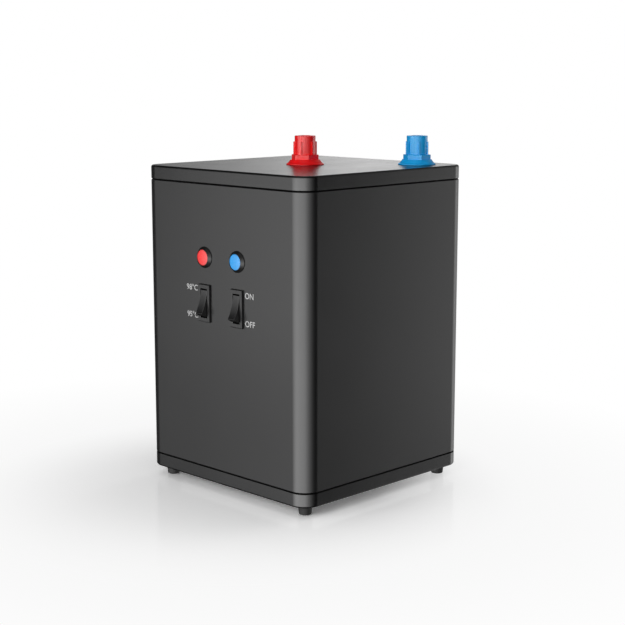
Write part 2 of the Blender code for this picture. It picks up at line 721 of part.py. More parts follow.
def build_connector(side, x, y, finish, rib_phase):
    """A bulkhead connector with its washer and lock nut, on its own axis."""
    names = {"hot": "hot_outlet", "cold": "cold_inlet"}
    stem = names[side]
    holder = empty(f"{stem}_axis", (x, y, LID_TOP_Z))
    profile = [(SPIGOT_RADIUS - SPIGOT_EDGE, SPIGOT_TOP),
               (SPIGOT_RADIUS, SPIGOT_TOP - SPIGOT_EDGE),
               (SPIGOT_RADIUS, SKIRT_HEIGHT), (SKIRT_TOP_RADIUS, SKIRT_HEIGHT),
               (SKIRT_RADIUS, SKIRT_RIM), (SKIRT_RADIUS, FIT), (TAIL_RADIUS, FIT),
               (TAIL_RADIUS, -TAIL_LENGTH), (PIPE_RADIUS + FIT, -TAIL_LENGTH),
               (PIPE_RADIUS + FIT, SOCKET_DEPTH - TAIL_LENGTH),
               (CONNECTOR_BORE_RADIUS, SOCKET_DEPTH - TAIL_LENGTH),
               (CONNECTOR_BORE_RADIUS, SPIGOT_TOP)]
    body = turned(f"{stem}_connector", profile, CONNECTOR_STEPS, PARTS, closed=True)
    place(body, parent=holder)
    inner = (SPIGOT_RADIUS + CONNECTOR_BORE_RADIUS) / 2
    collar_low = (SKIRT_HEIGHT + SKIRT_RIM) / 2
    collar = bpy.data.objects.new(f"{stem}_collar", hex_ring(COLLAR_RADIUS, inner, collar_low,
                                                           COLLAR_TOP, COLLAR_EDGE))
    join(body, place(link(collar, CUTTERS), parent=holder))
    for index in range(RIB_COUNT):
        angle = rib_phase + index * 2 * math.pi / RIB_COUNT
        reach = SPIGOT_RADIUS + RIB_OUT
        middle = (reach + SPIGOT_RADIUS - RIB_ROOT) / 2
        rib = box(f"{stem}_rib_{index}",
                  (reach - SPIGOT_RADIUS + RIB_ROOT, RIB_WIDTH, RIB_TOP - COLLAR_TOP + RIB_FOOT),
                  (middle * math.cos(angle), middle * math.sin(angle),
                   (RIB_TOP + COLLAR_TOP - RIB_FOOT) / 2), CUTTERS, holder)
        rib.rotation_euler = (0, 0, angle)
        join(body, rib)
    dress(body, finish)
    washer_top = -CAP_PLATE - FIT
    washer = turned(f"{side}_sealing_washer",
                    [(WASHER_RADIUS, washer_top), (WASHER_RADIUS, washer_top - WASHER_THICKNESS),
                     (TAIL_RADIUS + FIT, washer_top - WASHER_THICKNESS),
                     (TAIL_RADIUS + FIT, washer_top)], WASHER_STEPS, PARTS, closed=True)
    dress(place(washer, parent=holder), SILICONE_RED)
    nut_top = washer_top - WASHER_THICKNESS - FIT
    nut = bpy.data.objects.new(f"{side}_lock_nut",
                               hex_ring(LOCK_NUT_RADIUS, TAIL_RADIUS + FIT,
                                        nut_top - LOCK_NUT_THICKNESS, nut_top, COLLAR_EDGE))
    dress(place(link(nut, PARTS), parent=holder), NYLON_WHITE)


def hex_ring(radius, bore, low, high, edge):
    """A hexagonal ring with two flats square to local X, eased at its top."""
    bm = bmesh.new()
    bmesh.ops.create_cone(bm, cap_ends=True, segments=6, radius1=radius, radius2=radius,
                          depth=high - low, matrix=Matrix.Rotation(math.pi / 2, 4, "Z"))
    bmesh.ops.translate(bm, vec=(0, 0, (low + high) / 2), verts=bm.verts)
    blank = bpy.data.meshes.new("hexagon")
    top = max(bm.faces, key=lambda face: face.calc_center_median().z)
    bmesh.ops.bevel(bm, geom=list(top.edges), offset=edge, segments=1, affect="EDGES")
    bm.to_mesh(blank)
    bm.free()
    body = link(bpy.data.objects.new("hexagon", blank), CUTTERS)
    hole = prism("hexagon_bore", bore, low - OVERRUN, high + OVERRUN, WASHER_STEPS, CUTTERS)
    boolean(body, hole)
    bpy.context.view_layer.update()
    graph = bpy.context.evaluated_depsgraph_get()
    mesh = bpy.data.meshes.new_from_object(body.evaluated_get(graph))
    bpy.data.objects.remove(body, do_unlink=True)
    bpy.data.objects.remove(hole, do_unlink=True)
    mesh.set_sharp_from_angle(angle=SMOOTH_ANGLE)
    return mesh


def blade(name, width, centre, low, high, holder):
    """A flat terminal blade along local Z."""
    return box(name, (width, BLADE_THICKNESS, high - low), (*centre, (low + high) / 2), CUTTERS, holder)


def build_lamp(colour, x, lens_finish, sleeve):
    """A panel lamp: bezel and barrel, lens, rear nut and terminal plug. Local +Z is outward."""
    holder = empty(f"{colour}_lamp_axis", (x, FRONT_Y, UNDERSIDE_Z + LAMP_ABOVE_UNDERSIDE), PANEL_FRAME)
    seat_radius = LAMP_RIM_RADIUS - LAMP_RIM_WIDTH
    barrel_inner = LAMP_BARREL_RADIUS - LAMP_BARREL_WALL
    bezel = turned(f"{colour}_lamp_bezel",
                   [(LAMP_RIM_RADIUS, LAMP_HEIGHT), (LAMP_BASE_RADIUS, FIT),
                    (LAMP_BARREL_RADIUS, FIT), (LAMP_BARREL_RADIUS, -LAMP_BARREL_DEPTH),
                    (barrel_inner, -LAMP_BARREL_DEPTH), (barrel_inner, LAMP_SEAT),
                    (seat_radius, LAMP_SEAT), (seat_radius, LAMP_HEIGHT)],
                   LAMP_STEPS, PARTS, closed=True)
    dress(place(bezel, parent=holder), SWITCH_BLACK)
    lens_low = LAMP_SEAT + FIT
    lens_edge = LAMP_HEIGHT - LENS_RECESS - LENS_CROWN
    lens_radius = seat_radius - FIT
    lens = turned(f"{colour}_lamp_lens",
                  [(0, lens_edge + LENS_CROWN), (lens_radius, lens_edge),
                   (lens_radius, lens_low), (LENS_STEM_RADIUS, lens_low),
                   (LENS_STEM_RADIUS, lens_low - LENS_STEM_DEPTH), (0, lens_low - LENS_STEM_DEPTH)],
                  LAMP_STEPS, PARTS)
    dress(place(lens, parent=holder), lens_finish)
    nut_top = -SLEEVE_WALL - FIT
    nut = bpy.data.objects.new(f"{colour}_lamp_nut",
                               hex_ring(LAMP_NUT_RADIUS, LAMP_BARREL_RADIUS + FIT,
                                        nut_top - LAMP_NUT_THICKNESS, nut_top, COLLAR_EDGE))
    dress(place(link(nut, PARTS), parent=holder), BRASS)
    plug_top = -LAMP_BARREL_DEPTH + LAMP_PLUG_DEPTH
    plug_seat = -LAMP_BARREL_DEPTH - FIT
    plug_low = plug_seat - LAMP_PLUG_FLANGE
    plug_radius = barrel_inner - FIT
    plug = turned(f"{colour}_lamp_base",
                  [(0, plug_top), (plug_radius, plug_top), (plug_radius, plug_seat),
                   (LAMP_BARREL_RADIUS, plug_seat), (LAMP_BARREL_RADIUS, plug_low), (0, plug_low)],
                  LAMP_STEPS // 2, PARTS)
    place(plug, parent=holder)
    for share in LAMP_BLADE_SHARES:
        pin = blade(f"{colour}_lamp_blade_{share}", LAMP_BLADE_WIDTH, (0, share * LAMP_BARREL_RADIUS),
                    plug_low - BLADE_LENGTH, plug_low + LAMP_PLUG_FLANGE / 2, holder)
        join(plug, pin)
    dress(plug, NYLON_WHITE)
    hole = prism(f"{colour}_lamp_hole", LAMP_BARREL_RADIUS + FIT, -SLEEVE_WALL - OVERRUN, OVERRUN,
                 LAMP_STEPS, CUTTERS, holder)
    boolean(sleeve, hole)


def rocker_outline():
    """The rocker's side view about its pivot, as (height, outward) points.

    The finger face is hollow, and each end is an arc about the pivot, so that the
    gap to the housing stays the same as it tips.
    """
    radius = OPENING_HEIGHT / 2 - ROCKER_END_GAP
    tip_up = radius * math.sin(ROCKER_TIP_ANGLE)
    tip_out = radius * math.cos(ROCKER_TIP_ANGLE)
    rise = math.sqrt(ROCKER_FACE_RADIUS ** 2 - tip_up ** 2)
    face = []
    for index in range(ROCKER_FACE_SEGMENTS + 1):
        up = tip_up * (1 - 2 * index / ROCKER_FACE_SEGMENTS)
        face.append((up, tip_out + rise - math.sqrt(ROCKER_FACE_RADIUS ** 2 - up ** 2)))
    end = []
    for index in range(1, ROCKER_END_SEGMENTS + 1):
        share = index / ROCKER_END_SEGMENTS
        angle = ROCKER_TIP_ANGLE + (ROCKER_SKIRT_ANGLE - ROCKER_TIP_ANGLE) * share
        end.append((-radius * math.sin(angle), radius * math.cos(angle)))
    mirrored = [(-up, out) for up, out in reversed(end)]
    return face + end + mirrored


def build_switch(name, x, sleeve):
    """A snap-in rocker switch: housing, rocker on its pivot, terminal plug. Local +Z is outward."""
    centre = (x, FRONT_Y, UNDERSIDE_Z + SWITCH_ABOVE_UNDERSIDE)
    holder = empty(f"{name}_switch_axis", centre, PANEL_FRAME)
    bezel_high = BEZEL_PROUD - FIT
    housing = box(f"{name}_switch_housing", (BEZEL_WIDTH, BEZEL_HEIGHT, bezel_high),
                  (0, 0, FIT + bezel_high / 2), PARTS, holder, BEZEL_EDGE)
    body_high = SWITCH_BODY_DEPTH + BEZEL_PROUD / 2
    body = box(f"{name}_switch_body", (SWITCH_BODY_WIDTH, SWITCH_BODY_HEIGHT, body_high),
               (0, 0, BEZEL_PROUD / 2 - body_high / 2), CUTTERS, holder)
    join(housing, body)
    well_high = SWITCH_BODY_DEPTH + BEZEL_PROUD + 2 * OVERRUN
    well = box(f"{name}_switch_well", (OPENING_WIDTH, OPENING_HEIGHT, well_high),
               (0, 0, (BEZEL_PROUD - SWITCH_BODY_DEPTH) / 2), CUTTERS, holder)
    boolean(housing, well)
    pocket_reach = OPENING_WIDTH / 2 + PIVOT_REACH + FIT
    pocket = prism(f"{name}_pivot_pocket", PIVOT_RADIUS + FIT, -pocket_reach, pocket_reach,
                   PIVOT_STEPS, CUTTERS)
    place(pocket, (0, 0, -PIVOT_DEPTH), (0, math.pi / 2, 0), holder)
    boolean(housing, pocket)
    for side in (-1, 1):
        barb_points = [(-SWITCH_BARB_ROOT, 0), (SWITCH_BARB_OUT, 0), (0, -SWITCH_BARB_LENGTH),
                       (-SWITCH_BARB_ROOT, -SWITCH_BARB_LENGTH)]
        barb = outline_solid(f"{name}_switch_barb_{side}", barb_points, SWITCH_BARB_WIDTH, CUTTERS)
        local = Matrix.Translation((0, side * SWITCH_BODY_HEIGHT / 2, -SLEEVE_WALL - FIT))
        turn = Matrix(((0, 0, side), (side, 0, 0), (0, 1, 0))).to_4x4()
        barb.parent = holder
        barb.matrix_local = local @ turn
        join(housing, barb)
    dress(housing, SWITCH_BLACK)
    rocker_width = OPENING_WIDTH - 2 * ROCKER_SIDE_GAP
    rocker = outline_solid(f"{name}_switch_rocker", rocker_outline(), rocker_width, PARTS)
    swap = Matrix(((0, 0, 1), (1, 0, 0), (0, 1, 0))).to_4x4()
    rocker.data.transform(swap)
    place(rocker, (0, 0, -PIVOT_DEPTH), (-ROCKER_TILT, 0, 0), holder)
    ease = rocker.modifiers.new("edges", "BEVEL")
    ease.width = ROCKER_EDGE
    ease.segments = 1
    ease.angle_limit = math.radians(60)
    pin_reach = OPENING_WIDTH / 2 + PIVOT_REACH
    pins = prism(f"{name}_switch_pivot", PIVOT_RADIUS, -pin_reach, pin_reach, PIVOT_STEPS, CUTTERS)
    place(pins, (0, 0, -PIVOT_DEPTH), (0, math.pi / 2, 0), holder)
    join(rocker, pins)
    dress(rocker, SWITCH_BLACK)
    plug_low = -SWITCH_BODY_DEPTH
    plug = box(f"{name}_switch_base",
               (OPENING_WIDTH - 2 * FIT, OPENING_HEIGHT - 2 * FIT, PLUG_THICKNESS),
               (0, 0, plug_low + PLUG_THICKNESS / 2), PARTS, holder)
    for share in SWITCH_BLADE_SHARES:
        pin = blade(f"{name}_switch_blade_{share}", BLADE_WIDTH, (0, share * OPENING_HEIGHT),
                    plug_low - BLADE_LENGTH, plug_low + PLUG_THICKNESS / 2, holder)
        join(plug, pin)
    dress(plug, NYLON_WHITE)
    cut = box(f"{name}_switch_cutout",
              (SWITCH_BODY_WIDTH + 2 * FIT, SWITCH_BODY_HEIGHT + 2 * FIT, SLEEVE_WALL + 2 * OVERRUN),
              (0, 0, -SLEEVE_WALL / 2), CUTTERS, holder)
    boolean(sleeve, cut)


def dome_drop(radius):
    """How far a dome's outer face stands out from its tangent line at a radius."""
    return DOME_HEIGHT * math.sqrt(max(0.0, 1 - (radius / TANK_RADIUS) ** 2))


def dome_points(inner_radius, wall):
    """Dome points from the rim inwards, as (radius, rise), offset in by a wall."""
    points = []
    start = math.asin(min(1.0, inner_radius / TANK_RADIUS))
    for index in range(DOME_SEGMENTS + 1):
        angle = math.pi / 2 + (start - math.pi / 2) * index / DOME_SEGMENTS
        points.append(((TANK_RADIUS - wall) * math.sin(angle),
                       (DOME_HEIGHT - wall) * math.cos(angle)))
    return points


def build_inner_tank():
    """The stainless vessel: domed ends, heater neck, hot stub and cold boss."""
    flange_top = NECK_FLANGE_UNDERSIDE + NECK_FLANGE_THICKNESS
    bore = PIPE_RADIUS + FIT
    outer_top = [(radius, TANK_TANGENT_HIGH + rise) for radius, rise in dome_points(STUB_RADIUS, 0)]
    outer_low = [(radius, TANK_TANGENT_LOW - rise) for radius, rise in dome_points(NECK_RADIUS, 0)]
    inner_low = [(radius, TANK_TANGENT_LOW - rise)
                 for radius, rise in dome_points(NECK_RADIUS - NECK_WALL, TANK_WALL)]
    inner_top = [(radius, TANK_TANGENT_HIGH + rise) for radius, rise in dome_points(bore, TANK_WALL)]
    neck_inner = NECK_RADIUS - NECK_WALL
    profile = [(STUB_RADIUS, STUB_TOP)]
    profile += list(reversed(outer_top))
    profile += outer_low
    profile += [(NECK_RADIUS, flange_top), (NECK_FLANGE_RADIUS, flange_top),
                (NECK_FLANGE_RADIUS, NECK_FLANGE_UNDERSIDE), (neck_inner, NECK_FLANGE_UNDERSIDE)]
    profile += list(reversed(inner_low))
    profile += inner_top
    profile += [(bore, STUB_TOP)]
    vessel = turned("inner_tank", profile, TANK_STEPS, PARTS, closed=True)
    diagonal = Vector((COLD_X, COLD_Y, 0)).normalized()
    boss_start = TANK_RADIUS - TANK_WALL / 2
    boss = prism("cold_boss", STUB_RADIUS, boss_start, COLD_BOSS_REACH, FOOT_STEPS, CUTTERS)
    boss.data.transform(Matrix.Translation((0, 0, (boss_start + COLD_BOSS_REACH) / 2)))
    point_outward(boss, diagonal)
    join(vessel, boss)
    cold_bore = prism("cold_bore", bore, TANK_RADIUS - 2 * OVERRUN, COLD_BOSS_REACH + OVERRUN,
                      FOOT_STEPS, CUTTERS)
    cold_bore.data.transform(Matrix.Translation(
        (0, 0, (TANK_RADIUS - OVERRUN + COLD_BOSS_REACH) / 2)))
    point_outward(cold_bore, diagonal)
    boolean(vessel, cold_bore)
    for index, (x, y) in enumerate(bolt_places()):
        hole = prism(f"tank_bolt_hole_{index}", BOLT_RADIUS + FIT,
                     NECK_FLANGE_UNDERSIDE - OVERRUN, flange_top + OVERRUN, BOLT_STEPS, CUTTERS,
                     centre=(x, y))
        boolean(vessel, hole)
    return dress(vessel, STAINLESS)


def point_outward(item, direction):
    """Turn a bar made along local Z so that it leaves the vessel's axis at the cold port."""
    return set_axes(item, (0, 0, COLD_PORT_Z), (-direction.y, direction.x, 0), (0, 0, 1))


def bolt_places():
    """The heater flange's bolts, on their circle."""
    places = []
    for index in range(BOLT_COUNT):
        angle = (index + 0.5) * 2 * math.pi / BOLT_COUNT
        places.append((BOLT_CIRCLE_RADIUS * math.cos(angle), BOLT_CIRCLE_RADIUS * math.sin(angle)))
    return places


def build_tank_stand():
    """A ring stand with a seat that follows the dome, a shelf for the foam and four windows."""
    inner = STAND_WALL_RADIUS - STAND_WALL
    low = FLOOR_Z + FIT
    shelf_top = TANK_TANGENT_LOW - dome_drop(SEAT_OUTER_RADIUS) - FIT
    seat = []
    for index in range(SEAT_POINTS + 1):
        radius = inner + (SEAT_OUTER_RADIUS - inner) * index / SEAT_POINTS
        seat.append((radius, TANK_TANGENT_LOW - dome_drop(radius) - FIT))
    profile = [(STAND_SHELF_RADIUS, shelf_top), (STAND_SHELF_RADIUS, shelf_top - STAND_SHELF),
               (STAND_WALL_RADIUS, shelf_top - STAND_SHELF), (STAND_WALL_RADIUS, low + STAND_FLANGE),
               (STAND_FLANGE_RADIUS, low + STAND_FLANGE), (STAND_FLANGE_RADIUS, low), (inner, low)]
    stand = turned("tank_stand", profile + seat, TANK_STEPS, PARTS, closed=True)
    window_z = FLOOR_Z + WINDOW_SILL + WINDOW_HEIGHT / 2
    across = 2 * (STAND_SHELF_RADIUS + OVERRUN)
    boolean(stand, box("stand_window_x", (across, WINDOW_WIDTH, WINDOW_HEIGHT), (0, 0, window_z), CUTTERS))
    boolean(stand, box("stand_window_y", (WINDOW_WIDTH, across, WINDOW_HEIGHT), (0, 0, window_z), CUTTERS))
    return dress(stand, NYLON_WHITE)


def build_insulation():
    """Two foam halves, split on the plane through the cold port."""
    gap = JACKET_INNER_GAP
    low = TANK_TANGENT_LOW - dome_drop(SEAT_OUTER_RADIUS)
    inner = TANK_RADIUS + gap
    dome = [(radius * inner / TANK_RADIUS, TANK_TANGENT_HIGH + rise + gap)
            for radius, rise in dome_points(STUB_RADIUS + JACKET_STUB_GAP, 0)]
    mouth = dome[-1][0]
    profile = [(mouth, JACKET_TOP), (JACKET_RADIUS, JACKET_TOP), (JACKET_RADIUS, low), (inner, low)]
    diagonal = Vector((COLD_X, COLD_Y, 0)).normalized()
    across = Vector((diagonal.y, -diagonal.x, 0))
    size = 2 * (JACKET_RADIUS + OVERRUN)
    height = JACKET_TOP - low + 2 * OVERRUN
    angle = math.atan2(COLD_Y, COLD_X)
    for name, sign in (("insulation_front_half", 1), ("insulation_rear_half", -1)):
        half = turned(name, profile + dome, TANK_STEPS, PARTS, closed=True)
        shift = across * (-sign * (size / 2 - JACKET_SPLIT_GAP / 2))
        cutter = box(f"{name}_split", (size, size, height),
                     (shift.x, shift.y, (JACKET_TOP + low) / 2), CUTTERS)
        cutter.rotation_euler = (0, 0, angle)
        boolean(half, cutter)
        notch = prism(f"{name}_notch", STUB_RADIUS + JACKET_STUB_GAP, TANK_RADIUS - OVERRUN,
                      JACKET_RADIUS + OVERRUN, FOOT_STEPS, CUTTERS)
        notch.data.transform(Matrix.Translation((0, 0, (TANK_RADIUS + JACKET_RADIUS) / 2)))
        point_outward(notch, diagonal)
        boolean(half, notch)
        if sign > 0:
            flat = JACKET_RADIUS - JACKET_FRONT_FLAT + OVERRUN
            trim = box(f"{name}_flat", (size, flat, height),
                       (0, -JACKET_FRONT_FLAT - flat / 2, (JACKET_TOP + low) / 2), CUTTERS)
            boolean(half, trim)
        dress(half, FOAM_WHITE)


def pipe(name, points, bore_points, finish):
    """A bent pipe with its bore cut right through."""
    body = tube(name, points, PIPE_RADIUS, PARTS)
    core = tube(f"{name}_bore", bore_points, PIPE_BORE_RADIUS, CUTTERS)
    boolean(body, core)
    return dress(body, finish)


def build_water_pipes():
    """The hot pipe from stub to connector, and the cold pipe down the rear corner."""
    tail_z = LID_TOP_Z - TAIL_LENGTH
    pipe_top = tail_z + SOCKET_DEPTH - FIT
    hot_low = STUB_TOP - SOCKET_DEPTH
    pipe("hot_outlet_pipe", [(HOT_X, HOT_Y, hot_low), (HOT_X, HOT_Y, pipe_top)],
         [(HOT_X, HOT_Y, hot_low - OVERRUN), (HOT_X, HOT_Y, pipe_top + OVERRUN)], STAINLESS)
    diagonal = Vector((COLD_X, COLD_Y, 0)).normalized()
    reach = math.hypot(COLD_X, COLD_Y)
    bend_z = COLD_PORT_Z + COLD_PIPE_BEND
    points = [diagonal * reach + Vector((0, 0, pipe_top))]
    for index in range(ELEMENT_ARC_SEGMENTS + 1):
        angle = math.pi / 2 * index / ELEMENT_ARC_SEGMENTS
        out = reach - COLD_PIPE_BEND * (1 - math.cos(angle))
        points.append(diagonal * out + Vector((0, 0, bend_z - COLD_PIPE_BEND * math.sin(angle))))
    points.append(diagonal * COLD_PIPE_END + Vector((0, 0, COLD_PORT_Z)))
    bore_points = list(points)
    bore_points[0] = points[0] + Vector((0, 0, OVERRUN))
    bore_points[-1] = points[-1] - diagonal * OVERRUN
    pipe("cold_inlet_pipe", points, bore_points, STAINLESS)


def build_drain():
    """A drain tube from the heater flange through the base, closed by a screwed plug."""
    tube_top = PLATE_TOP_Z + DRAIN_TUBE_RISE
    tube_low = UNDERSIDE_Z - DRAIN_TUBE_DROP
    tube_profile = [(PIPE_RADIUS, tube_top), (PIPE_RADIUS, tube_low),
                    (DRAIN_BORE_RADIUS, tube_low), (DRAIN_BORE_RADIUS, tube_top)]
    drain = turned("drain_tube", tube_profile, FOOT_STEPS, PARTS, closed=True)
    holder = empty("drain_axis", (DRAIN_X, DRAIN_Y, 0))
    dress(place(drain, parent=holder), STAINLESS)
    cap_top = UNDERSIDE_Z - FIT
    plug = prism("drain_plug", DRAIN_PLUG_RADIUS, UNDERSIDE_Z - DRAIN_PLUG_DROP, cap_top, 6, PARTS,
                 holder)
    socket = prism("drain_plug_socket", PIPE_RADIUS + FIT, tube_low - FIT, cap_top + OVERRUN,
                   FOOT_STEPS, CUTTERS, holder)
    boolean(plug, socket)
    dress(plug, BRASS)


def build_heater():
    """Gasket, flange, bolts, bent element, sensor pocket, sensor and cut-out."""
    neck_inner = NECK_RADIUS - NECK_WALL
    gasket_low = GASKET_TOP_Z - GASKET_THICKNESS
    gasket = turned("flange_gasket",
                    [(NECK_FLANGE_RADIUS, GASKET_TOP_Z), (NECK_FLANGE_RADIUS, gasket_low),
                     (neck_inner, gasket_low), (neck_inner, GASKET_TOP_Z)],
                    TANK_STEPS, PARTS, closed=True)
    plate = prism("element_flange", NECK_FLANGE_RADIUS, PLATE_LOW_Z, PLATE_TOP_Z, TANK_STEPS, PARTS)
    bolt_top = NECK_FLANGE_UNDERSIDE + NECK_FLANGE_THICKNESS + BOLT_SPARE
    head_top = PLATE_LOW_Z - FIT
    for index, (x, y) in enumerate(bolt_places()):
        hole = prism(f"flange_bolt_hole_{index}", BOLT_RADIUS + FIT, PLATE_LOW_Z - OVERRUN,
                     GASKET_TOP_Z + OVERRUN, BOLT_STEPS, CUTTERS, centre=(x, y))
        boolean(gasket, hole)
        boolean(plate, hole)
        bolt = prism(f"flange_bolt_{index + 1}", BOLT_HEAD_RADIUS, head_top - BOLT_HEAD_HEIGHT,
                     head_top, 6, PARTS, centre=(x, y))
        shank = prism(f"flange_bolt_shank_{index}", BOLT_RADIUS, head_top - BOLT_HEAD_HEIGHT / 2,
                      bolt_top, BOLT_STEPS, CUTTERS, centre=(x, y))
        join(bolt, shank)
        dress(bolt, STAINLESS)
    dress(gasket, SILICONE_RED)
    build_element(plate)
    passages = (("pocket_hole", POCKET_RADIUS, BOLT_STEPS, (0, POCKET_Y)),
                ("flange_drain_hole", PIPE_RADIUS, FOOT_STEPS, (DRAIN_X, DRAIN_Y)))
    for name, radius, sides, centre in passages:
        hole = prism(name, radius + FIT, PLATE_LOW_Z - OVERRUN, PLATE_TOP_Z + OVERRUN, sides, CUTTERS,
                     centre=centre)
        boolean(plate, hole)
    pocket_inner = POCKET_RADIUS - POCKET_WALL
    pocket = turned("sensor_pocket",
                    [(0, POCKET_TOP), (POCKET_RADIUS, POCKET_TOP), (POCKET_RADIUS, head_top),
                     (POCKET_FLANGE_RADIUS, head_top), (POCKET_FLANGE_RADIUS, head_top - POCKET_FLANGE),
                     (pocket_inner, head_top - POCKET_FLANGE), (pocket_inner, POCKET_TOP - POCKET_WALL),
                     (0, POCKET_TOP - POCKET_WALL)], BOLT_STEPS, PARTS)
    dress(place(pocket, (0, POCKET_Y, 0)), STAINLESS)
    sensor = prism("temperature_sensor", pocket_inner - FIT,
                   head_top - POCKET_FLANGE - SENSOR_BELOW, POCKET_TOP - POCKET_WALL - FIT,
                   BOLT_STEPS, PARTS, centre=(0, POCKET_Y))
    dress(sensor, NYLON_WHITE)
    cap_low = head_top - CUTOUT_CAP
    cutout = turned("thermal_cutout",
                    [(0, head_top), (CUTOUT_CAP_RADIUS, head_top), (CUTOUT_CAP_RADIUS, cap_low),
                     (CUTOUT_RADIUS, cap_low), (CUTOUT_RADIUS, head_top - CUTOUT_HEIGHT),
                     (0, head_top - CUTOUT_HEIGHT)], FOOT_STEPS, PARTS)
    holder = empty("thermal_cutout_axis", (0, CUTOUT_Y, 0))
    place(cutout, parent=holder)
    for side in (-1, 1):
        pin = blade(f"cutout_blade_{side}", BLADE_WIDTH, (side * CUTOUT_BLADE_SPREAD / 2, 0),
                    head_top - CUTOUT_HEIGHT - BLADE_LENGTH, head_top - CUTOUT_HEIGHT / 2, holder)
        pin.rotation_euler = (0, 0, math.pi / 2)
        join(cutout, pin)
    dress(cutout, CORE_GREY)
    stud = prism("earth_stud_post", EARTH_RADIUS, PLATE_LOW_Z - EARTH_LENGTH,
                 PLATE_LOW_Z + PLATE_THICKNESS / 2, BOLT_STEPS, CUTTERS, centre=(EARTH_X, 0))
    join(plate, stud)
    dress(plate, BRASS)


def arc_points(centre, first, second, radius, start, sweep):
    """Points on an arc in the plane of two directions."""
    points = []
    for index in range(ELEMENT_ARC_SEGMENTS + 1):
        angle = start + sweep * index / ELEMENT_ARC_SEGMENTS
        points.append(Vector(centre) + Vector(first) * radius * math.cos(angle)
                      + Vector(second) * radius * math.sin(angle))
    return points


def build_element(plate):
    """One tube with four legs: up, over, down, under, up, over and down."""
    wide = ELEMENT_HALF_WIDTH
    deep = ELEMENT_HALF_DEPTH
    foot_z = PLATE_LOW_Z - ELEMENT_BELOW_PLATE
    crown = ELEMENT_TOP - deep
    low = ELEMENT_LOW_BEND
    points = [Vector((-wide, -deep, foot_z))]
    points += arc_points((-wide, 0, crown), (0, 1, 0), (0, 0, 1), deep, math.pi, -math.pi)
    points += arc_points((0, deep, low), (1, 0, 0), (0, 0, 1), wide, math.pi, math.pi)
    points += arc_points((wide, 0, crown), (0, 1, 0), (0, 0, 1), deep, 0, math.pi)
    points.append(Vector((wide, -deep, foot_z)))
    element = tube("heating_element", points, ELEMENT_RADIUS, PARTS)
    for side in (-1, 1):
        hole = prism(f"element_hole_{side}", ELEMENT_RADIUS + FIT, PLATE_LOW_Z - OVERRUN,
                     PLATE_TOP_Z + OVERRUN, FOOT_STEPS, CUTTERS, centre=(side * wide, -deep))
        boolean(plate, hole)
        tag = box(f"element_blade_{side}", (BLADE_WIDTH, BLADE_THICKNESS, BLADE_LENGTH * 2),
                  (side * wide, -deep, foot_z), CUTTERS)
        join(element, tag)
    dress(element, STAINLESS)


def build_board():
    """The control board on its bracket, with its larger components."""
    bracket = box("board_bracket", (BRACKET_THICKNESS, BRACKET_DEPTH_Y, BRACKET_HEIGHT),
                  (BRACKET_X + BRACKET_THICKNESS / 2, BOARD_Y, BOARD_Z), PARTS)
    board = box("control_board", (BOARD_THICKNESS, BOARD_DEPTH_Y, BOARD_HEIGHT),
                (BOARD_X + BOARD_THICKNESS / 2, BOARD_Y, BOARD_Z), PARTS)
    for row in (-1, 1):
        for column in (-1, 1):
            y = BOARD_Y + column * BOARD_HOLE_SHARE * BOARD_DEPTH_Y
            z = BOARD_Z + row * BOARD_HOLE_SHARE * BOARD_HEIGHT
            low = BRACKET_THICKNESS / 2
            post = prism(f"standoff_{row}_{column}", STANDOFF_RADIUS, low,
                         BRACKET_THICKNESS + STANDOFF_LENGTH, BOLT_STEPS, CUTTERS)
            post_x = BRACKET_X + (low + BRACKET_THICKNESS + STANDOFF_LENGTH) / 2
            place(post, (post_x, y, z), (0, math.pi / 2, 0))
            join(bracket, post)
            hole = prism(f"board_hole_{row}_{column}", BOARD_HOLE_RADIUS, -BOARD_THICKNESS,
                         BOARD_THICKNESS, PIVOT_STEPS, CUTTERS)
            place(hole, (BOARD_X + BOARD_THICKNESS / 2, y, z), (0, math.pi / 2, 0))
            boolean(board, hole)
    dress(bracket, NYLON_WHITE)
    dress(board, BOARD_GREEN)
    face = BOARD_FACE_X + FIT
    blocks = (("board_transformer", TRANSFORMER_SIZE, TRANSFORMER_SHARES, CORE_GREY),
              ("board_relay", RELAY_SIZE, RELAY_SHARES, PART_BLUE),
              ("board_header", HEADER_SIZE, HEADER_SHARES, NYLON_WHITE))
    for name, size, shares, finish in blocks:
        centre = (face + size[0] / 2, BOARD_Y + shares[0] * BOARD_DEPTH_Y,
                  BOARD_Z + shares[1] * BOARD_HEIGHT)
        dress(box(name, size, centre, PARTS, edge=BEZEL_EDGE), finish)


def build_terminal_block():
    """A three-pole block on the base plate behind the stand."""
    low = FLOOR_Z + FIT
    block = box("terminal_block", (BLOCK_WIDTH, BLOCK_DEPTH, BLOCK_HEIGHT - BLOCK_SHOULDER),
                (0, BLOCK_Y, low + (BLOCK_HEIGHT - BLOCK_SHOULDER) / 2), PARTS)
    crown_depth = BLOCK_DEPTH / 2
    overlap = BLOCK_SHOULDER / 2
    crown = box("terminal_block_crown", (BLOCK_WIDTH, crown_depth, BLOCK_SHOULDER + overlap),
                (0, BLOCK_Y, low + BLOCK_HEIGHT - (BLOCK_SHOULDER + overlap) / 2), CUTTERS)
    join(block, crown)
    for x in pole_places():
        well = prism(f"terminal_well_{x:.3f}", BLOCK_WELL_RADIUS, low + BLOCK_HEIGHT - BLOCK_WELL_DEPTH,
                     low + BLOCK_HEIGHT + OVERRUN, BOLT_STEPS, CUTTERS, centre=(x, BLOCK_Y))
        boolean(block, well)
    return dress(block, NYLON_WHITE)


def pole_places():
    """The x place of each pole of the terminal block."""
    pitch = BLOCK_WIDTH / BLOCK_POLES
    return [(index - (BLOCK_POLES - 1) / 2) * pitch for index in range(BLOCK_POLES)]


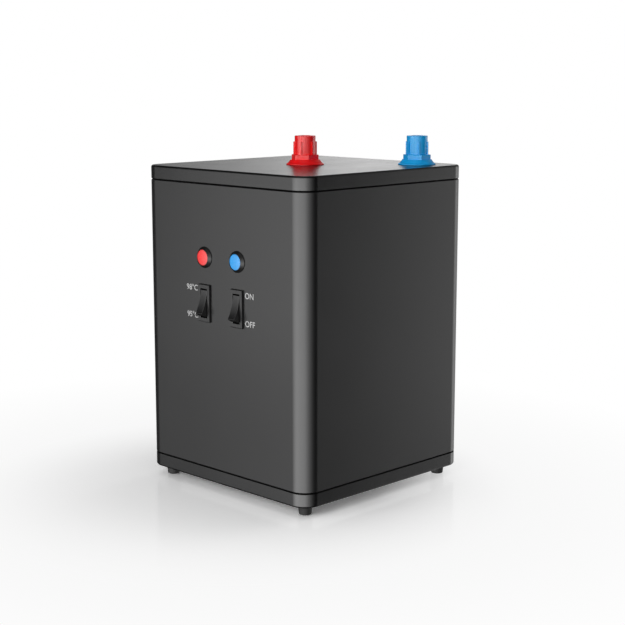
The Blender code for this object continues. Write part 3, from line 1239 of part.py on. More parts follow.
def points_from(origin, way):
    """A way's points, measured from an origin."""
    return [origin + Vector(point) for point in way]


def smooth_route(start, leave, way, end, arrive):
    """Points along a smooth curve through a way's points, with a straight stub at each end."""
    route = [start + leave * LEAD_STUB, *way, end + arrive * LEAD_STUB]
    samples = []
    for index in range(len(route) - 1):
        before = route[max(index - 1, 0)]
        near = route[index]
        far = route[index + 1]
        after = route[min(index + 2, len(route) - 1)]
        for step in range(LEAD_SAMPLES):
            t = step / LEAD_SAMPLES
            samples.append(0.5 * (2 * near + (far - before) * t
                                  + (2 * before - 5 * near + 4 * far - after) * t ** 2
                                  + (3 * near - before - 3 * far + after) * t ** 3))
    return [start] + samples + [route[-1], end]


def build_leads():
    """The leads that join the terminal block, switches, board, heater and sensor."""
    pole_left, pole_middle, pole_right = pole_places()
    block_y = BLOCK_Y - BLOCK_DEPTH / 2 - FIT
    block_z = FLOOR_Z + BLOCK_ENTRY_HEIGHT
    header_x = BOARD_FACE_X + 2 * FIT + HEADER_SIZE[0]
    header_y = BOARD_Y + HEADER_SHARES[0] * BOARD_DEPTH_Y
    header_z = BOARD_Z + HEADER_SHARES[1] * BOARD_HEIGHT
    header_low = header_z - HEADER_LEAD_SHARE * HEADER_SIZE[2]
    header_high = header_z + HEADER_LEAD_SHARE * HEADER_SIZE[2]
    switch_z = UNDERSIDE_Z + SWITCH_ABOVE_UNDERSIDE
    blade_drop = SWITCH_BLADE_SHARES[-1] * OPENING_HEIGHT + BLADE_THICKNESS / 2 + FIT
    blade_y = FRONT_Y + SWITCH_BODY_DEPTH + BLADE_LENGTH / 2
    element_z = PLATE_LOW_Z - ELEMENT_BELOW_PLATE - BLADE_LENGTH - FIT
    cutout_z = PLATE_LOW_Z - FIT - CUTOUT_HEIGHT - BLADE_LENGTH - FIT
    sensor_z = PLATE_LOW_Z - FIT - POCKET_FLANGE - SENSOR_BELOW - FIT
    earth_z = PLATE_LOW_Z - EARTH_LENGTH - FIT
    down = (0, 0, -1)
    up = (0, 0, 1)
    front = (0, -1, 0)
    inward = (1, 0, 0)
    axis = Vector((0, 0, FLOOR_Z))
    panel = Vector((0, FRONT_Y, FLOOR_Z))
    switches = Vector((0, FRONT_Y, switch_z))
    corner = Vector((LEFT_X, FRONT_Y, FLOOR_Z))
    power_way = points_from(axis, POWER_FLOOR_WAY) + points_from(panel, POWER_PANEL_WAY)
    power_way += points_from(switches, POWER_SWITCH_WAY)
    switched_way = points_from(switches, SWITCHED_SWITCH_WAY) + points_from(corner, SWITCHED_CORNER_WAY)
    selector_way = points_from(switches, SELECTOR_SWITCH_WAY) + points_from(corner, SELECTOR_CORNER_WAY)
    sensor_way = points_from(axis, SENSOR_FLOOR_WAY) + points_from(panel, SENSOR_PANEL_WAY)
    sensor_way += points_from(corner, SENSOR_CORNER_WAY)
    routes = (
        ("power_live_lead", LEAD_BLACK, (pole_right, block_y, block_z), front, power_way,
         (SWITCH_X, blade_y, switch_z - blade_drop), down),
        ("switched_live_lead", LEAD_BLACK, (SWITCH_X, blade_y, switch_z + blade_drop), up, switched_way,
         (header_x, header_y, header_high), inward),
        ("selector_lead", LEAD_RED, (-SWITCH_X, blade_y, switch_z - blade_drop), down, selector_way,
         (header_x, header_y, header_z), inward),
        ("element_live_lead", LEAD_RED, (CUTOUT_BLADE_SPREAD / 2, CUTOUT_Y, cutout_z), down,
         points_from(axis, ELEMENT_LIVE_WAY), (ELEMENT_HALF_WIDTH, -ELEMENT_HALF_DEPTH, element_z), down),
        ("element_neutral_lead", LEAD_BLUE, (pole_left, block_y, block_z), front,
         points_from(axis, NEUTRAL_WAY), (-ELEMENT_HALF_WIDTH, -ELEMENT_HALF_DEPTH, element_z), down),
        ("earth_lead", LEAD_GREEN, (pole_middle, block_y, block_z), front, points_from(axis, EARTH_WAY),
         (EARTH_X, 0, earth_z), down),
        ("sensor_lead", LEAD_BLACK, (0, POCKET_Y, sensor_z), down, sensor_way,
         (header_x, header_y, header_low), inward),
    )
    for name, finish, start, leave, way, end, arrive in routes:
        route = smooth_route(Vector(start), Vector(leave), way, Vector(end), Vector(arrive))
        dress(tube(name, route, LEAD_RADIUS, PARTS, resolution=1), finish)


def build_gland(sleeve):
    """The cord gland in the rear wall, empty, with its inner nut. Local +Z is outward."""
    holder = empty("cable_gland_axis", (GLAND_X, REAR_Y, UNDERSIDE_Z + GLAND_ABOVE_UNDERSIDE),
                   REAR_FRAME)
    shoulder = (GLAND_FLANGE + GLAND_REACH) / 2
    gland = turned("cable_gland",
                   [(GLAND_MOUTH_RADIUS, GLAND_REACH), (GLAND_DOME_RADIUS, shoulder),
                    (GLAND_DOME_RADIUS, GLAND_FLANGE), (GLAND_FLANGE_RADIUS, GLAND_FLANGE),
                    (GLAND_FLANGE_RADIUS, FIT), (GLAND_THREAD_RADIUS, FIT),
                    (GLAND_THREAD_RADIUS, -GLAND_THREAD_DEPTH), (GLAND_BORE_RADIUS, -GLAND_THREAD_DEPTH),
                    (GLAND_BORE_RADIUS, GLAND_REACH)], GLAND_STEPS, PARTS, closed=True)
    dress(place(gland, parent=holder), MOULDED_BLACK)
    nut_top = -SLEEVE_WALL - FIT
    nut = bpy.data.objects.new("gland_nut",
                               hex_ring(GLAND_NUT_RADIUS, GLAND_THREAD_RADIUS + FIT,
                                        nut_top - GLAND_NUT_THICKNESS, nut_top, COLLAR_EDGE))
    dress(place(link(nut, PARTS), parent=holder), MOULDED_BLACK)
    hole = prism("gland_hole", GLAND_THREAD_RADIUS + FIT, -SLEEVE_WALL - OVERRUN, OVERRUN,
                 GLAND_STEPS, CUTTERS, holder)
    boolean(sleeve, hole)


def main():
    """Build the whole tank."""
    build_base_cap()
    sleeve = build_body_sleeve()
    build_top_cap()
    build_feet()
    build_connector("hot", HOT_X, HOT_Y, HOT_RED, HOT_RIB_PHASE)
    build_connector("cold", COLD_X, COLD_Y, COLD_BLUE, COLD_RIB_PHASE)
    build_lamp("red", -LAMP_X, LENS_RED, sleeve)
    build_lamp("blue", LAMP_X, LENS_BLUE, sleeve)
    build_switch("temperature", -SWITCH_X, sleeve)
    build_switch("power", SWITCH_X, sleeve)
    build_gland(sleeve)
    build_inner_tank()
    build_tank_stand()
    build_insulation()
    build_water_pipes()
    build_drain()
    build_heater()
    build_board()
    build_terminal_block()
    build_leads()
    bpy.context.view_layer.update()


main()
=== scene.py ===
"""Looks of a countertop hot water tank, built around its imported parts.

Every outer piece is remodelled with its edge radii, ribs, flutes and print, rides on the body
that carries it, and has a procedural finish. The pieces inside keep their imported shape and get
a finish of their own.
"""

import json
import logging
import math
from abc import ABC, abstractmethod
from contextlib import contextmanager
from dataclasses import dataclass, field
from enum import Enum
from typing import Callable, Iterator, Sequence

import bmesh
import bpy
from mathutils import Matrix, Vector


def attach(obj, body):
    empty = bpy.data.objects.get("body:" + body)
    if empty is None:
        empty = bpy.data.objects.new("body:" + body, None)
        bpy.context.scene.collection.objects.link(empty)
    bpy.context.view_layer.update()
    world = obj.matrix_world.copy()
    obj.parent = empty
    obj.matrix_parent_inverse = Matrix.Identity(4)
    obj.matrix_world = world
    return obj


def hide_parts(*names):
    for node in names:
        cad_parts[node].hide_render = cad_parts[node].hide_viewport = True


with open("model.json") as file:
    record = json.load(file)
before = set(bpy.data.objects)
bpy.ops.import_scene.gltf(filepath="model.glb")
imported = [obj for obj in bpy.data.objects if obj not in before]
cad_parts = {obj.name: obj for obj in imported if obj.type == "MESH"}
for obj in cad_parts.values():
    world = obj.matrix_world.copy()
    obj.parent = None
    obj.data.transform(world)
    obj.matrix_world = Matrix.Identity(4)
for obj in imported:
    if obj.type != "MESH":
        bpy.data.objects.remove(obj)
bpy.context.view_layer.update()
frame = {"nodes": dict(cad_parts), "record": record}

Piece = bpy.types.Object
Socket = bpy.types.NodeSocket
Element = bmesh.types.BMVert | bmesh.types.BMEdge | bmesh.types.BMFace
Colour = tuple[float, float, float]
Place = tuple[float, float, float]
Spot = tuple[float, float]
Span = tuple[float, float]
Outline = list[tuple[float, float]]
Stops = tuple[tuple[float, float], ...]

LOG = logging.getLogger("hot_water_tank")
TANK = "tank"
TINY = 1e-5
MERGE_GAP = 1e-6
CUT_SPARE = 0.002
SMOOTH_LIMIT = math.radians(34)
QUARTER = math.pi / 2
# How far the middle of a rounded edge lies inside its corner, for a radius of 1
ROUND_IN = 1 - math.sqrt(0.5)
ON_FRONT = (QUARTER, 0.0, 0.0)
ON_REAR = (-QUARTER, 0.0, 0.0)

# Places and sizes that several pieces share
CASING_HALF = 0.095
LID_TOP = 0.2665
CLEARANCE = 0.0003
PANEL_X = 0.0195
LAMP_Z = 0.1955
LENS_RADIUS = 0.00635
SWITCH_Z = 0.1581
GLAND_X, GLAND_Z = -0.060, 0.0405
HOT_SPOT = (0.0, 0.0)
COLD_SPOT = (0.066, 0.066)
DRAIN_SPOT = (-0.022, 0.008)
DRAIN_RADIUS = 0.0053
FOOT_REACH = 0.0807


# Work bench: modelling operators used as by hand


class Pick(Enum):
    """What an edit-mode selection is made of."""

    POINTS = "VERT"
    EDGES = "EDGE"
    FACES = "FACE"


class Combine(Enum):
    """How a tool piece acts on another piece."""

    CUT = "DIFFERENCE"
    ADD = "UNION"


def clear_selection() -> None:
    """Leave nothing selected, so that an operator acts only on what is picked next."""
    if bpy.context.mode != "OBJECT":
        bpy.ops.object.mode_set(mode="OBJECT")
    bpy.ops.object.select_all(action="DESELECT")


def pick(*pieces: Piece) -> None:
    """Select only these pieces, and make the first one active.

    Args:
        pieces: the pieces that the next operator works on.
    """
    clear_selection()
    for piece in pieces:
        piece.select_set(True)
    bpy.context.view_layer.objects.active = pieces[0]


def named(name: str) -> Piece:
    """Name the piece that was just made.

    Args:
        name: its name in the object's list of pieces.

    Returns:
        The active piece.
    """
    piece = bpy.context.object
    piece.name = name
    piece.data.name = name
    return piece


def discard(piece: Piece) -> None:
    """Take away a piece that was only a pattern or a tool."""
    bpy.data.objects.remove(piece, do_unlink=True)


def settle(piece: Piece, place: Place = (0, 0, 0), turn: Place = (0, 0, 0)) -> Piece:
    """Move and turn a piece, and put the result into its mesh.

    Args:
        piece: the piece to move.
        place: how far its origin moves.
        turn: its turn about X, Y and Z in radians.

    Returns:
        The same piece, with its object at the origin.
    """
    piece.location = Vector(piece.location) + Vector(place)
    piece.rotation_euler = turn
    pick(piece)
    bpy.ops.object.transform_apply(location=True, rotation=True, scale=True)
    return piece


@contextmanager
def editing(piece: Piece) -> Iterator[None]:
    """Hold a piece in edit mode for as long as the block lasts.

    Args:
        piece: the piece whose mesh is shaped.
    """
    pick(piece)
    bpy.ops.object.mode_set(mode="EDIT")
    try:
        yield
    finally:
        bpy.ops.object.mode_set(mode="OBJECT")


def choose(what: Pick, wanted: Callable[[Element], bool]) -> int:
    """Select, in the mesh being edited, only what passes a test.

    Args:
        what: points, edges or faces.
        wanted: the test, given one point, edge or face.

    Returns:
        How many passed.
    """
    bpy.ops.mesh.select_mode(type=what.value)
    bpy.ops.mesh.select_all(action="DESELECT")
    mesh = bpy.context.object.data
    shape = bmesh.from_edit_mesh(mesh)
    stock = {Pick.POINTS: shape.verts, Pick.EDGES: shape.edges, Pick.FACES: shape.faces}[what]
    found = [element for element in stock if wanted(element)]
    for element in found:
        element.select_set(True)
    shape.select_flush_mode()
    bmesh.update_edit_mesh(mesh)
    return len(found)


def is_upright(edge: bmesh.types.BMEdge) -> bool:
    """Whether an edge runs along Z."""
    first, last = (point.co for point in edge.verts)
    return (first.xy - last.xy).length < TINY


def at_height(height: float) -> Callable[[Element], bool]:
    """A test for edges and flat faces that lie at a height."""
    return lambda element: all(abs(point.co.z - height) < TINY for point in element.verts)


def block(name: str, size: Place, place: Place = (0, 0, 0)) -> Piece:
    """A squared block to start a piece from.

    Args:
        name: the piece's name.
        size: its width, depth and height.
        place: its middle.

    Returns:
        The block, with its size in its mesh.
    """
    clear_selection()
    bpy.ops.mesh.primitive_cube_add(size=1, location=place, scale=size)
    return settle(named(name))


def bar(name: str, radius: float, low: float, high: float, sides: int = 48,
        middle: Spot = (0, 0)) -> Piece:
    """A round or many-sided bar along Z to start a piece from.

    Args:
        name: the piece's name.
        radius: its outer radius, to the corners.
        low: its lower end.
        high: its upper end.
        sides: how many sides it has.
        middle: where its axis stands in plan.

    Returns:
        The bar, with its place in its mesh.
    """
    clear_selection()
    bpy.ops.mesh.primitive_cylinder_add(vertices=sides, radius=radius, depth=high - low,
                                        location=(*middle, (low + high) / 2))
    return settle(named(name))


def trace(name: str, points: Sequence[Place]) -> Piece:
    """Draw a line of points by pulling one point out of the next.

    Args:
        name: the piece's name.
        points: the line's points.

    Returns:
        A piece that is only the line, with its two ends merged where they meet.
    """
    clear_selection()
    bpy.ops.mesh.primitive_plane_add(size=0.01)
    piece = named(name)
    with editing(piece):
        bpy.ops.mesh.select_mode(type=Pick.POINTS.value)
        bpy.ops.mesh.select_all(action="SELECT")
        bpy.ops.mesh.merge(type="CENTER")
        bpy.ops.transform.translate(value=points[0])
        for here, there in zip(points, points[1:]):
            step = Vector(there) - Vector(here)
            bpy.ops.mesh.extrude_vertices_move(TRANSFORM_OT_translate={"value": step})
        bpy.ops.mesh.select_all(action="SELECT")
        bpy.ops.mesh.remove_doubles(threshold=MERGE_GAP)
    return piece


def turn_on_lathe(name: str, outline: Outline, steps: int, closed: bool = False) -> Piece:
    """Turn an outline about the Z axis.

    Args:
        name: the piece's name.
        outline: points as (radius, height), outside first.
        steps: how many steps go round.
        closed: whether the outline returns to its first point, as on a ring.

    Returns:
        The turned piece.
    """
    points = [(radius, 0, height) for radius, height in outline]
    if closed:
        points.append(points[0])
    piece = trace(name, points)
    with editing(piece):
        bpy.ops.mesh.select_all(action="SELECT")
        bpy.ops.mesh.spin(steps=steps, angle=math.tau, center=(0, 0, 0), axis=(0, 0, 1))
        bpy.ops.mesh.select_all(action="SELECT")
        bpy.ops.mesh.remove_doubles(threshold=MERGE_GAP)
        bpy.ops.mesh.normals_make_consistent(inside=False)
    return piece


def draw_out(name: str, outline: Outline, width: float) -> Piece:
    """Draw a closed side view out along X, centred on X 0.

    Args:
        name: the piece's name.
        outline: points as (Y, Z).
        width: how wide the piece is.

    Returns:
        The solid piece.
    """
    points = [(-width / 2, y, z) for y, z in outline]
    piece = trace(name, [*points, points[0]])
    with editing(piece):
        bpy.ops.mesh.select_all(action="SELECT")
        bpy.ops.mesh.edge_face_add()
        bpy.ops.mesh.extrude_region_move(TRANSFORM_OT_translate={"value": (width, 0, 0)})
        bpy.ops.mesh.select_all(action="SELECT")
        bpy.ops.mesh.normals_make_consistent(inside=False)
    return piece


def round_edges(wanted: Callable[[bmesh.types.BMEdge], bool], width: float, segments: int) -> None:
    """Bevel some edges of the mesh being edited.

    Args:
        wanted: the test for an edge.
        width: the bevel's width.
        segments: how many faces it has across.
    """
    if choose(Pick.EDGES, wanted):
        bpy.ops.mesh.bevel(offset=width, segments=segments, profile=0.5, affect="EDGES",
                           clamp_overlap=True)


def step_up(inset: float, rise: float) -> None:
    """Inset the selected faces, then pull them up, or push them down where the rise is negative."""
    bpy.ops.mesh.inset(thickness=inset, use_even_offset=True)
    bpy.ops.mesh.extrude_region_move(TRANSFORM_OT_translate={"value": (0, 0, rise)})


def apply_modifier(piece: Piece, kind: str, **settings: object) -> None:
    """Give a piece a modifier and apply it.

    Args:
        piece: the piece.
        kind: the modifier's type.
        settings: its settings by name.
    """
    modifier = piece.modifiers.new(kind.lower(), kind)
    for key, value in settings.items():
        setattr(modifier, key, value)
    pick(piece)
    bpy.ops.object.modifier_apply(modifier=modifier.name)


def combine(piece: Piece, way: Combine, *tools: Piece) -> Piece:
    """Cut tool pieces out of a piece, or add them on, and remove the tools.

    Args:
        piece: the piece that stays.
        way: cut or add.
        tools: the pieces that are used up.

    Returns:
        The piece that stays.
    """
    for tool in tools:
        apply_modifier(piece, "BOOLEAN", operation=way.value, object=tool, solver="EXACT")
        discard(tool)
    return piece


def copy_of(piece: Piece, name: str, place: Place = (0, 0, 0), turn: Place = (0, 0, 0)) -> Piece:
    """A copy of a piece with its own mesh, moved and turned.

    Args:
        piece: the piece to copy.
        name: the copy's name.
        place: how far the copy moves.
        turn: the copy's turn about the origin.

    Returns:
        The copy.
    """
    pick(piece)
    bpy.ops.object.duplicate(linked=False)
    return settle(named(name), place, turn)


def ring_of(piece: Piece, count: int, phase: float = 0.0) -> Piece:
    """Copy a piece round the Z axis and join the copies, which don't touch, into one tool.

    Args:
        piece: the piece, which is used up.
        count: how many copies stand round the axis.
        phase: the first copy's turn in radians.

    Returns:
        The joined copies.
    """
    name = piece.name
    turns = [phase + index * math.tau / count for index in range(count)]
    copies = [copy_of(piece, f"{name}_{index}", turn=(0, 0, turn)) for index, turn in enumerate(turns)]
    discard(piece)
    pick(*copies)
    bpy.ops.object.join()
    return named(f"{name}_ring")


def even_shading(piece: Piece) -> Piece:
    """Shade a piece smooth with its corners kept sharp, and keep its flats flat.

    Args:
        piece: the finished shape.

    Returns:
        The same piece.
    """
    pick(piece)
    bpy.ops.object.shade_smooth_by_angle(angle=SMOOTH_LIMIT)
    apply_modifier(piece, "WEIGHTED_NORMAL", keep_sharp=True, weight=60)
    return piece


# Finishes


class NodeBoard:
    """The nodes of a material or of the world, wired as they are added."""

    def __init__(self, tree: bpy.types.NodeTree) -> None:
        """Take up a node tree."""
        self.tree = tree

    def wire(self, node: bpy.types.Node, inputs: dict[str, object]) -> None:
        """Link or set some inputs of a node.

        Args:
            node: the node.
            inputs: another node's output, or an even value, by the input's identifier.
        """
        sockets = {socket.identifier: socket for socket in node.inputs}
        for key, value in inputs.items():
            if isinstance(value, Socket):
                self.tree.links.new(value, sockets[key])
            else:
                sockets[key].default_value = value

    def put(self, kind: str, result: str, inputs: dict[str, object], **settings: object) -> Socket:
        """Add a node, set it up and wire it.

        Args:
            kind: the node's type, without the ShaderNode that it starts with.
            result: the identifier of the output that is wanted.
            inputs: another node's output, or an even value, by the input's identifier.
            settings: the node's own settings by name.

        Returns:
            The wanted output.
        """
        node = self.tree.nodes.new(f"ShaderNode{kind}")
        for key, value in settings.items():
            setattr(node, key, value)
        self.wire(node, inputs)
        return next(socket for socket in node.outputs if socket.identifier == result)

    def between(self, source: Socket, low: float, high: float, start: float = 0.25,
                stop: float = 0.75, pace: str = "LINEAR") -> Socket:
        """Spread a value that goes from start to stop over the range from low to high."""
        ends = {"From Min": start, "From Max": stop, "To Min": low, "To Max": high}
        return self.put("MapRange", "Result", {"Value": source, **ends}, interpolation_type=pace)

    def times(self, first: Socket, second: Socket) -> Socket:
        """Two values multiplied."""
        return self.put("Math", "Value", {"Value": first, "Value_001": second}, operation="MULTIPLY")

    def mixed(self, share: Socket, first: Socket, second: Socket) -> Socket:
        """Two shaders mixed, by how much of the second shows."""
        return self.put("MixShader", "Shader", {"Fac": share, "Shader": first, "Shader_001": second})


@dataclass(frozen=True)
class Grain:
    """Cloudy grain: a cloud's width in metres, finer layers and their strength, and how it is drawn out."""

    size: float
    detail: float = 2.0
    stretch: Place = (1.0, 1.0, 1.0)
    rough: float = 0.5


class Surface(NodeBoard):
    """The nodes of one finish, built round its shader."""

    def __init__(self, name: str) -> None:
        """Start a finish with a plain shader.

        Args:
            name: the finish's name.
        """
        self.material = bpy.data.materials.new(name)
        self.material.use_nodes = True
        super().__init__(self.material.node_tree)
        self.shader = self.tree.nodes["Principled BSDF"]
        self.spot = self.put("TexCoord", "Object", {})

    def feed(self, **inputs: object) -> None:
        """Link or set the shader's own inputs, with _ for a space in a name."""
        self.wire(self.shader, {key.replace("_", " "): value for key, value in inputs.items()})

    def moved(self, middle: Place = (0, 0, 0), stretch: Place = (1, 1, 1)) -> Socket:
        """The piece's own coordinates, measured from a point and stretched along each axis."""
        shift = [-along * factor for along, factor in zip(middle, stretch)]
        return self.put("Mapping", "Vector", {"Vector": self.spot, "Scale": stretch, "Location": shift})

    def grain(self, grain: Grain) -> Socket:
        """Cloudy grain from 0 to 1."""
        look = {"Scale": 1 / grain.size, "Detail": grain.detail, "Roughness": grain.rough}
        return self.put("TexNoise", "Fac", {"Vector": self.moved(stretch=grain.stretch), **look})

    def cells(self, size: float) -> Socket:
        """Rounded cells of a width in metres, from 0 at a cell's middle."""
        return self.put("TexVoronoi", "Distance", {"Vector": self.spot, "Scale": 1 / size})

    def blend(self, share: Socket, low: Colour, high: Colour) -> Socket:
        """A colour between two, by a value from 0 to 1."""
        inputs = {"Factor_Float": share, "A_Color": (*low, 1), "B_Color": (*high, 1)}
        return self.put("Mix", "Result_Color", inputs, data_type="RGBA")

    def plus(self, first: Socket, second: Socket, share: float) -> Socket:
        """The first value with a share of the second added."""
        inputs = {"Value": second, "Value_001": share, "Value_002": first}
        return self.put("Math", "Value", inputs, operation="MULTIPLY_ADD")

    def radius_from(self, middle: Place, stretch: Place = (1, 1, 1)) -> Socket:
        """The distance from a point, with an axis left out where its stretch is 0."""
        return self.put("VectorMath", "Value", {"Vector": self.moved(middle, stretch)}, operation="LENGTH")


Layers = tuple[Socket, Socket, Socket]


@dataclass(frozen=True)
class Finish(ABC):
    """A finish with two close tones, a roughness range and a relief, each led by a layer of grain.

    The spans are the grain's values between which the tone and the roughness change, and the depth
    is how high the relief stands in metres.
    """

    slot: str
    low_tone: Colour
    high_tone: Colour
    rough: Span
    depth: float = 0.00001
    strength: float = 1.0
    shine: float = 0.5
    metallic: float = 0.0
    tone_span: Span = (0.25, 0.75)
    rough_span: Span = (0.25, 0.75)

    def material(self) -> bpy.types.Material:
        """Make the finish.

        Returns:
            The finish as a material.
        """
        surface = Surface(self.slot)
        tone, sheen, height = self.layers(surface)
        tone = surface.between(tone, 0, 1, *self.tone_span)
        bump = {"Height": height, "Distance": self.depth, "Strength": self.strength}
        surface.feed(Base_Color=surface.blend(tone, self.low_tone, self.high_tone),
                     Roughness=surface.between(sheen, *self.rough, *self.rough_span),
                     Normal=surface.put("Bump", "Normal", bump),
                     Specular_IOR_Level=self.shine, Metallic=self.metallic)
        return surface.material

    @abstractmethod
    def layers(self, surface: Surface) -> Layers:
        """The grain that leads the tone, the roughness and the relief."""


@dataclass(frozen=True)
class PowderCoat(Finish):
    """Satin powder coat: fine orange peel, a finer grit and a faint cloudiness in the sheen."""

    depth: float = 0.000014
    rough_span: Span = (0.3, 0.8)
    cloud: Grain = Grain(0.045, 3)
    peel: Grain = Grain(0.0011, 1)
    grit: Grain = Grain(0.00032)
    grit_in_sheen: float = 0.15
    grit_in_relief: float = 0.35

    def layers(self, surface: Surface) -> Layers:
        """Grit, clouds with a little grit, and peel with some grit."""
        cloud, peel, grit = (surface.grain(grain) for grain in (self.cloud, self.peel, self.grit))
        return (grit, surface.plus(cloud, grit, self.grit_in_sheen),
                surface.plus(peel, grit, self.grit_in_relief))


@dataclass(frozen=True)
class MouldedPlastic(Finish):
    """Moulded plastic with a spark-eroded texture of small cells."""

    depth: float = 0.000012
    rough_span: Span = (0.35, 0.9)
    cell: float = 0.0005
    cloud: Grain = Grain(0.03, 3)
    fine_in_sheen: float = 0.3
    fine_in_relief: float = 0.5

    def layers(self, surface: Surface) -> Layers:
        """Clouds, clouds with fine grain, and cells with fine grain.

        Args:
            surface: the finish's nodes.

        Returns:
            The three layers.
        """
        cloud = surface.grain(self.cloud)
        fine = surface.grain(Grain(self.cell / 2))
        relief = surface.plus(surface.cells(self.cell), fine, self.fine_in_relief)
        return cloud, surface.plus(cloud, fine, self.fine_in_sheen), relief


@dataclass(frozen=True)
class GlossPlastic(Finish):
    """Semi-gloss coloured plastic: faint flow marks along the pull and a soft skin."""

    rough_span: Span = (0.3, 1.0)
    flow: Grain = Grain(0.004, 3, (1.0, 1.0, 0.25))
    skin: Grain = Grain(0.0007)
    skin_in_sheen: float = 0.4
    skin_in_relief: float = 0.2

    def layers(self, surface: Surface) -> Layers:
        """Flow marks, and flow marks with more and with less of the skin."""
        flow, skin = surface.grain(self.flow), surface.grain(self.skin)
        return (flow, surface.plus(flow, skin, self.skin_in_sheen),
                surface.plus(flow, skin, self.skin_in_relief))


@dataclass(frozen=True)
class Rubber(Finish):
    """Matt rubber with a dusty bloom."""

    depth: float = 0.00002
    shine: float = 0.35
    bloom: Grain = Grain(0.003, 4, rough=0.65)
    pores: Grain = Grain(0.00035)
    bloom_in_relief: float = 0.5

    def layers(self, surface: Surface) -> Layers:
        """Bloom, bloom, and pores with bloom."""
        bloom, pores = surface.grain(self.bloom), surface.grain(self.pores)
        return bloom, bloom, surface.plus(pores, bloom, self.bloom_in_relief)


@dataclass(frozen=True)
class LampLens(Finish):
    """A lit, clouded lens: brighter in the middle, with fine rings moulded into it."""

    depth: float = 0.000008
    tone_span: Span = (0.0, 1.0)
    middle: Place = (0.0, 0.0, 0.0)
    radius: float = LENS_RADIUS
    bright_share: float = 0.75
    dim_share: float = 1.02
    cloud: Grain = Grain(0.0012)
    cloud_in_tone: float = 0.15
    glow: float = 0.3
    ring: float = 0.0007

    def layers(self, surface: Surface) -> Layers:
        """Light that falls off towards the edge, clouds, and rings. The lens also glows.

        Args:
            surface: the finish's nodes.

        Returns:
            The three layers.
        """
        out = surface.radius_from(self.middle, (1, 0, 1))
        cloud = surface.grain(self.cloud)
        lit = surface.between(out, 1, 0, self.radius * self.bright_share, self.radius * self.dim_share)
        turns = surface.between(out, 0, math.tau / self.ring, 0, 1)
        surface.feed(Emission_Color=(*self.high_tone, 1), Emission_Strength=self.glow)
        rings = surface.put("Math", "Value", {"Value": turns}, operation="SINE")
        return surface.plus(lit, cloud, self.cloud_in_tone), cloud, rings


@dataclass(frozen=True)
class DrawnMetal(Finish):
    """Metal with fine lines drawn along one axis."""

    depth: float = 0.000006
    metallic: float = 1.0
    rough_span: Span = (0.4, 1.0)
    lines: Grain = Grain(0.0004, 3, (1.0, 1.0, 0.03))
    cloud: Grain = Grain(0.012, 3)
    cloud_in_sheen: float = 0.4

    def layers(self, surface: Surface) -> Layers:
        """Clouds, lines with clouds, and lines."""
        lines, cloud = surface.grain(self.lines), surface.grain(self.cloud)
        return cloud, surface.plus(lines, cloud, self.cloud_in_sheen), lines


@dataclass(frozen=True)
class Foam(Finish):
    """Closed-cell foam with a torn, cellular skin, paler in the middle of a cell."""

    depth: float = 0.0003
    strength: float = 0.6
    tone_span: Span = (0.1, 0.7)
    cell: float = 0.0016
    cloud: Grain = Grain(0.02, 3)

    def layers(self, surface: Surface) -> Layers:
        """Cells, clouds, and cells."""
        cells = surface.cells(self.cell)
        return cells, surface.grain(self.cloud), cells


@dataclass(frozen=True)
class PrintedInk(Finish):
    """Screen-printed ink, a little uneven where the mesh left it."""

    mesh: Grain = Grain(0.00025)

    def layers(self, surface: Surface) -> Layers:
        """The mesh's marks for all three."""
        marks = surface.grain(self.mesh)
        return marks, marks, marks


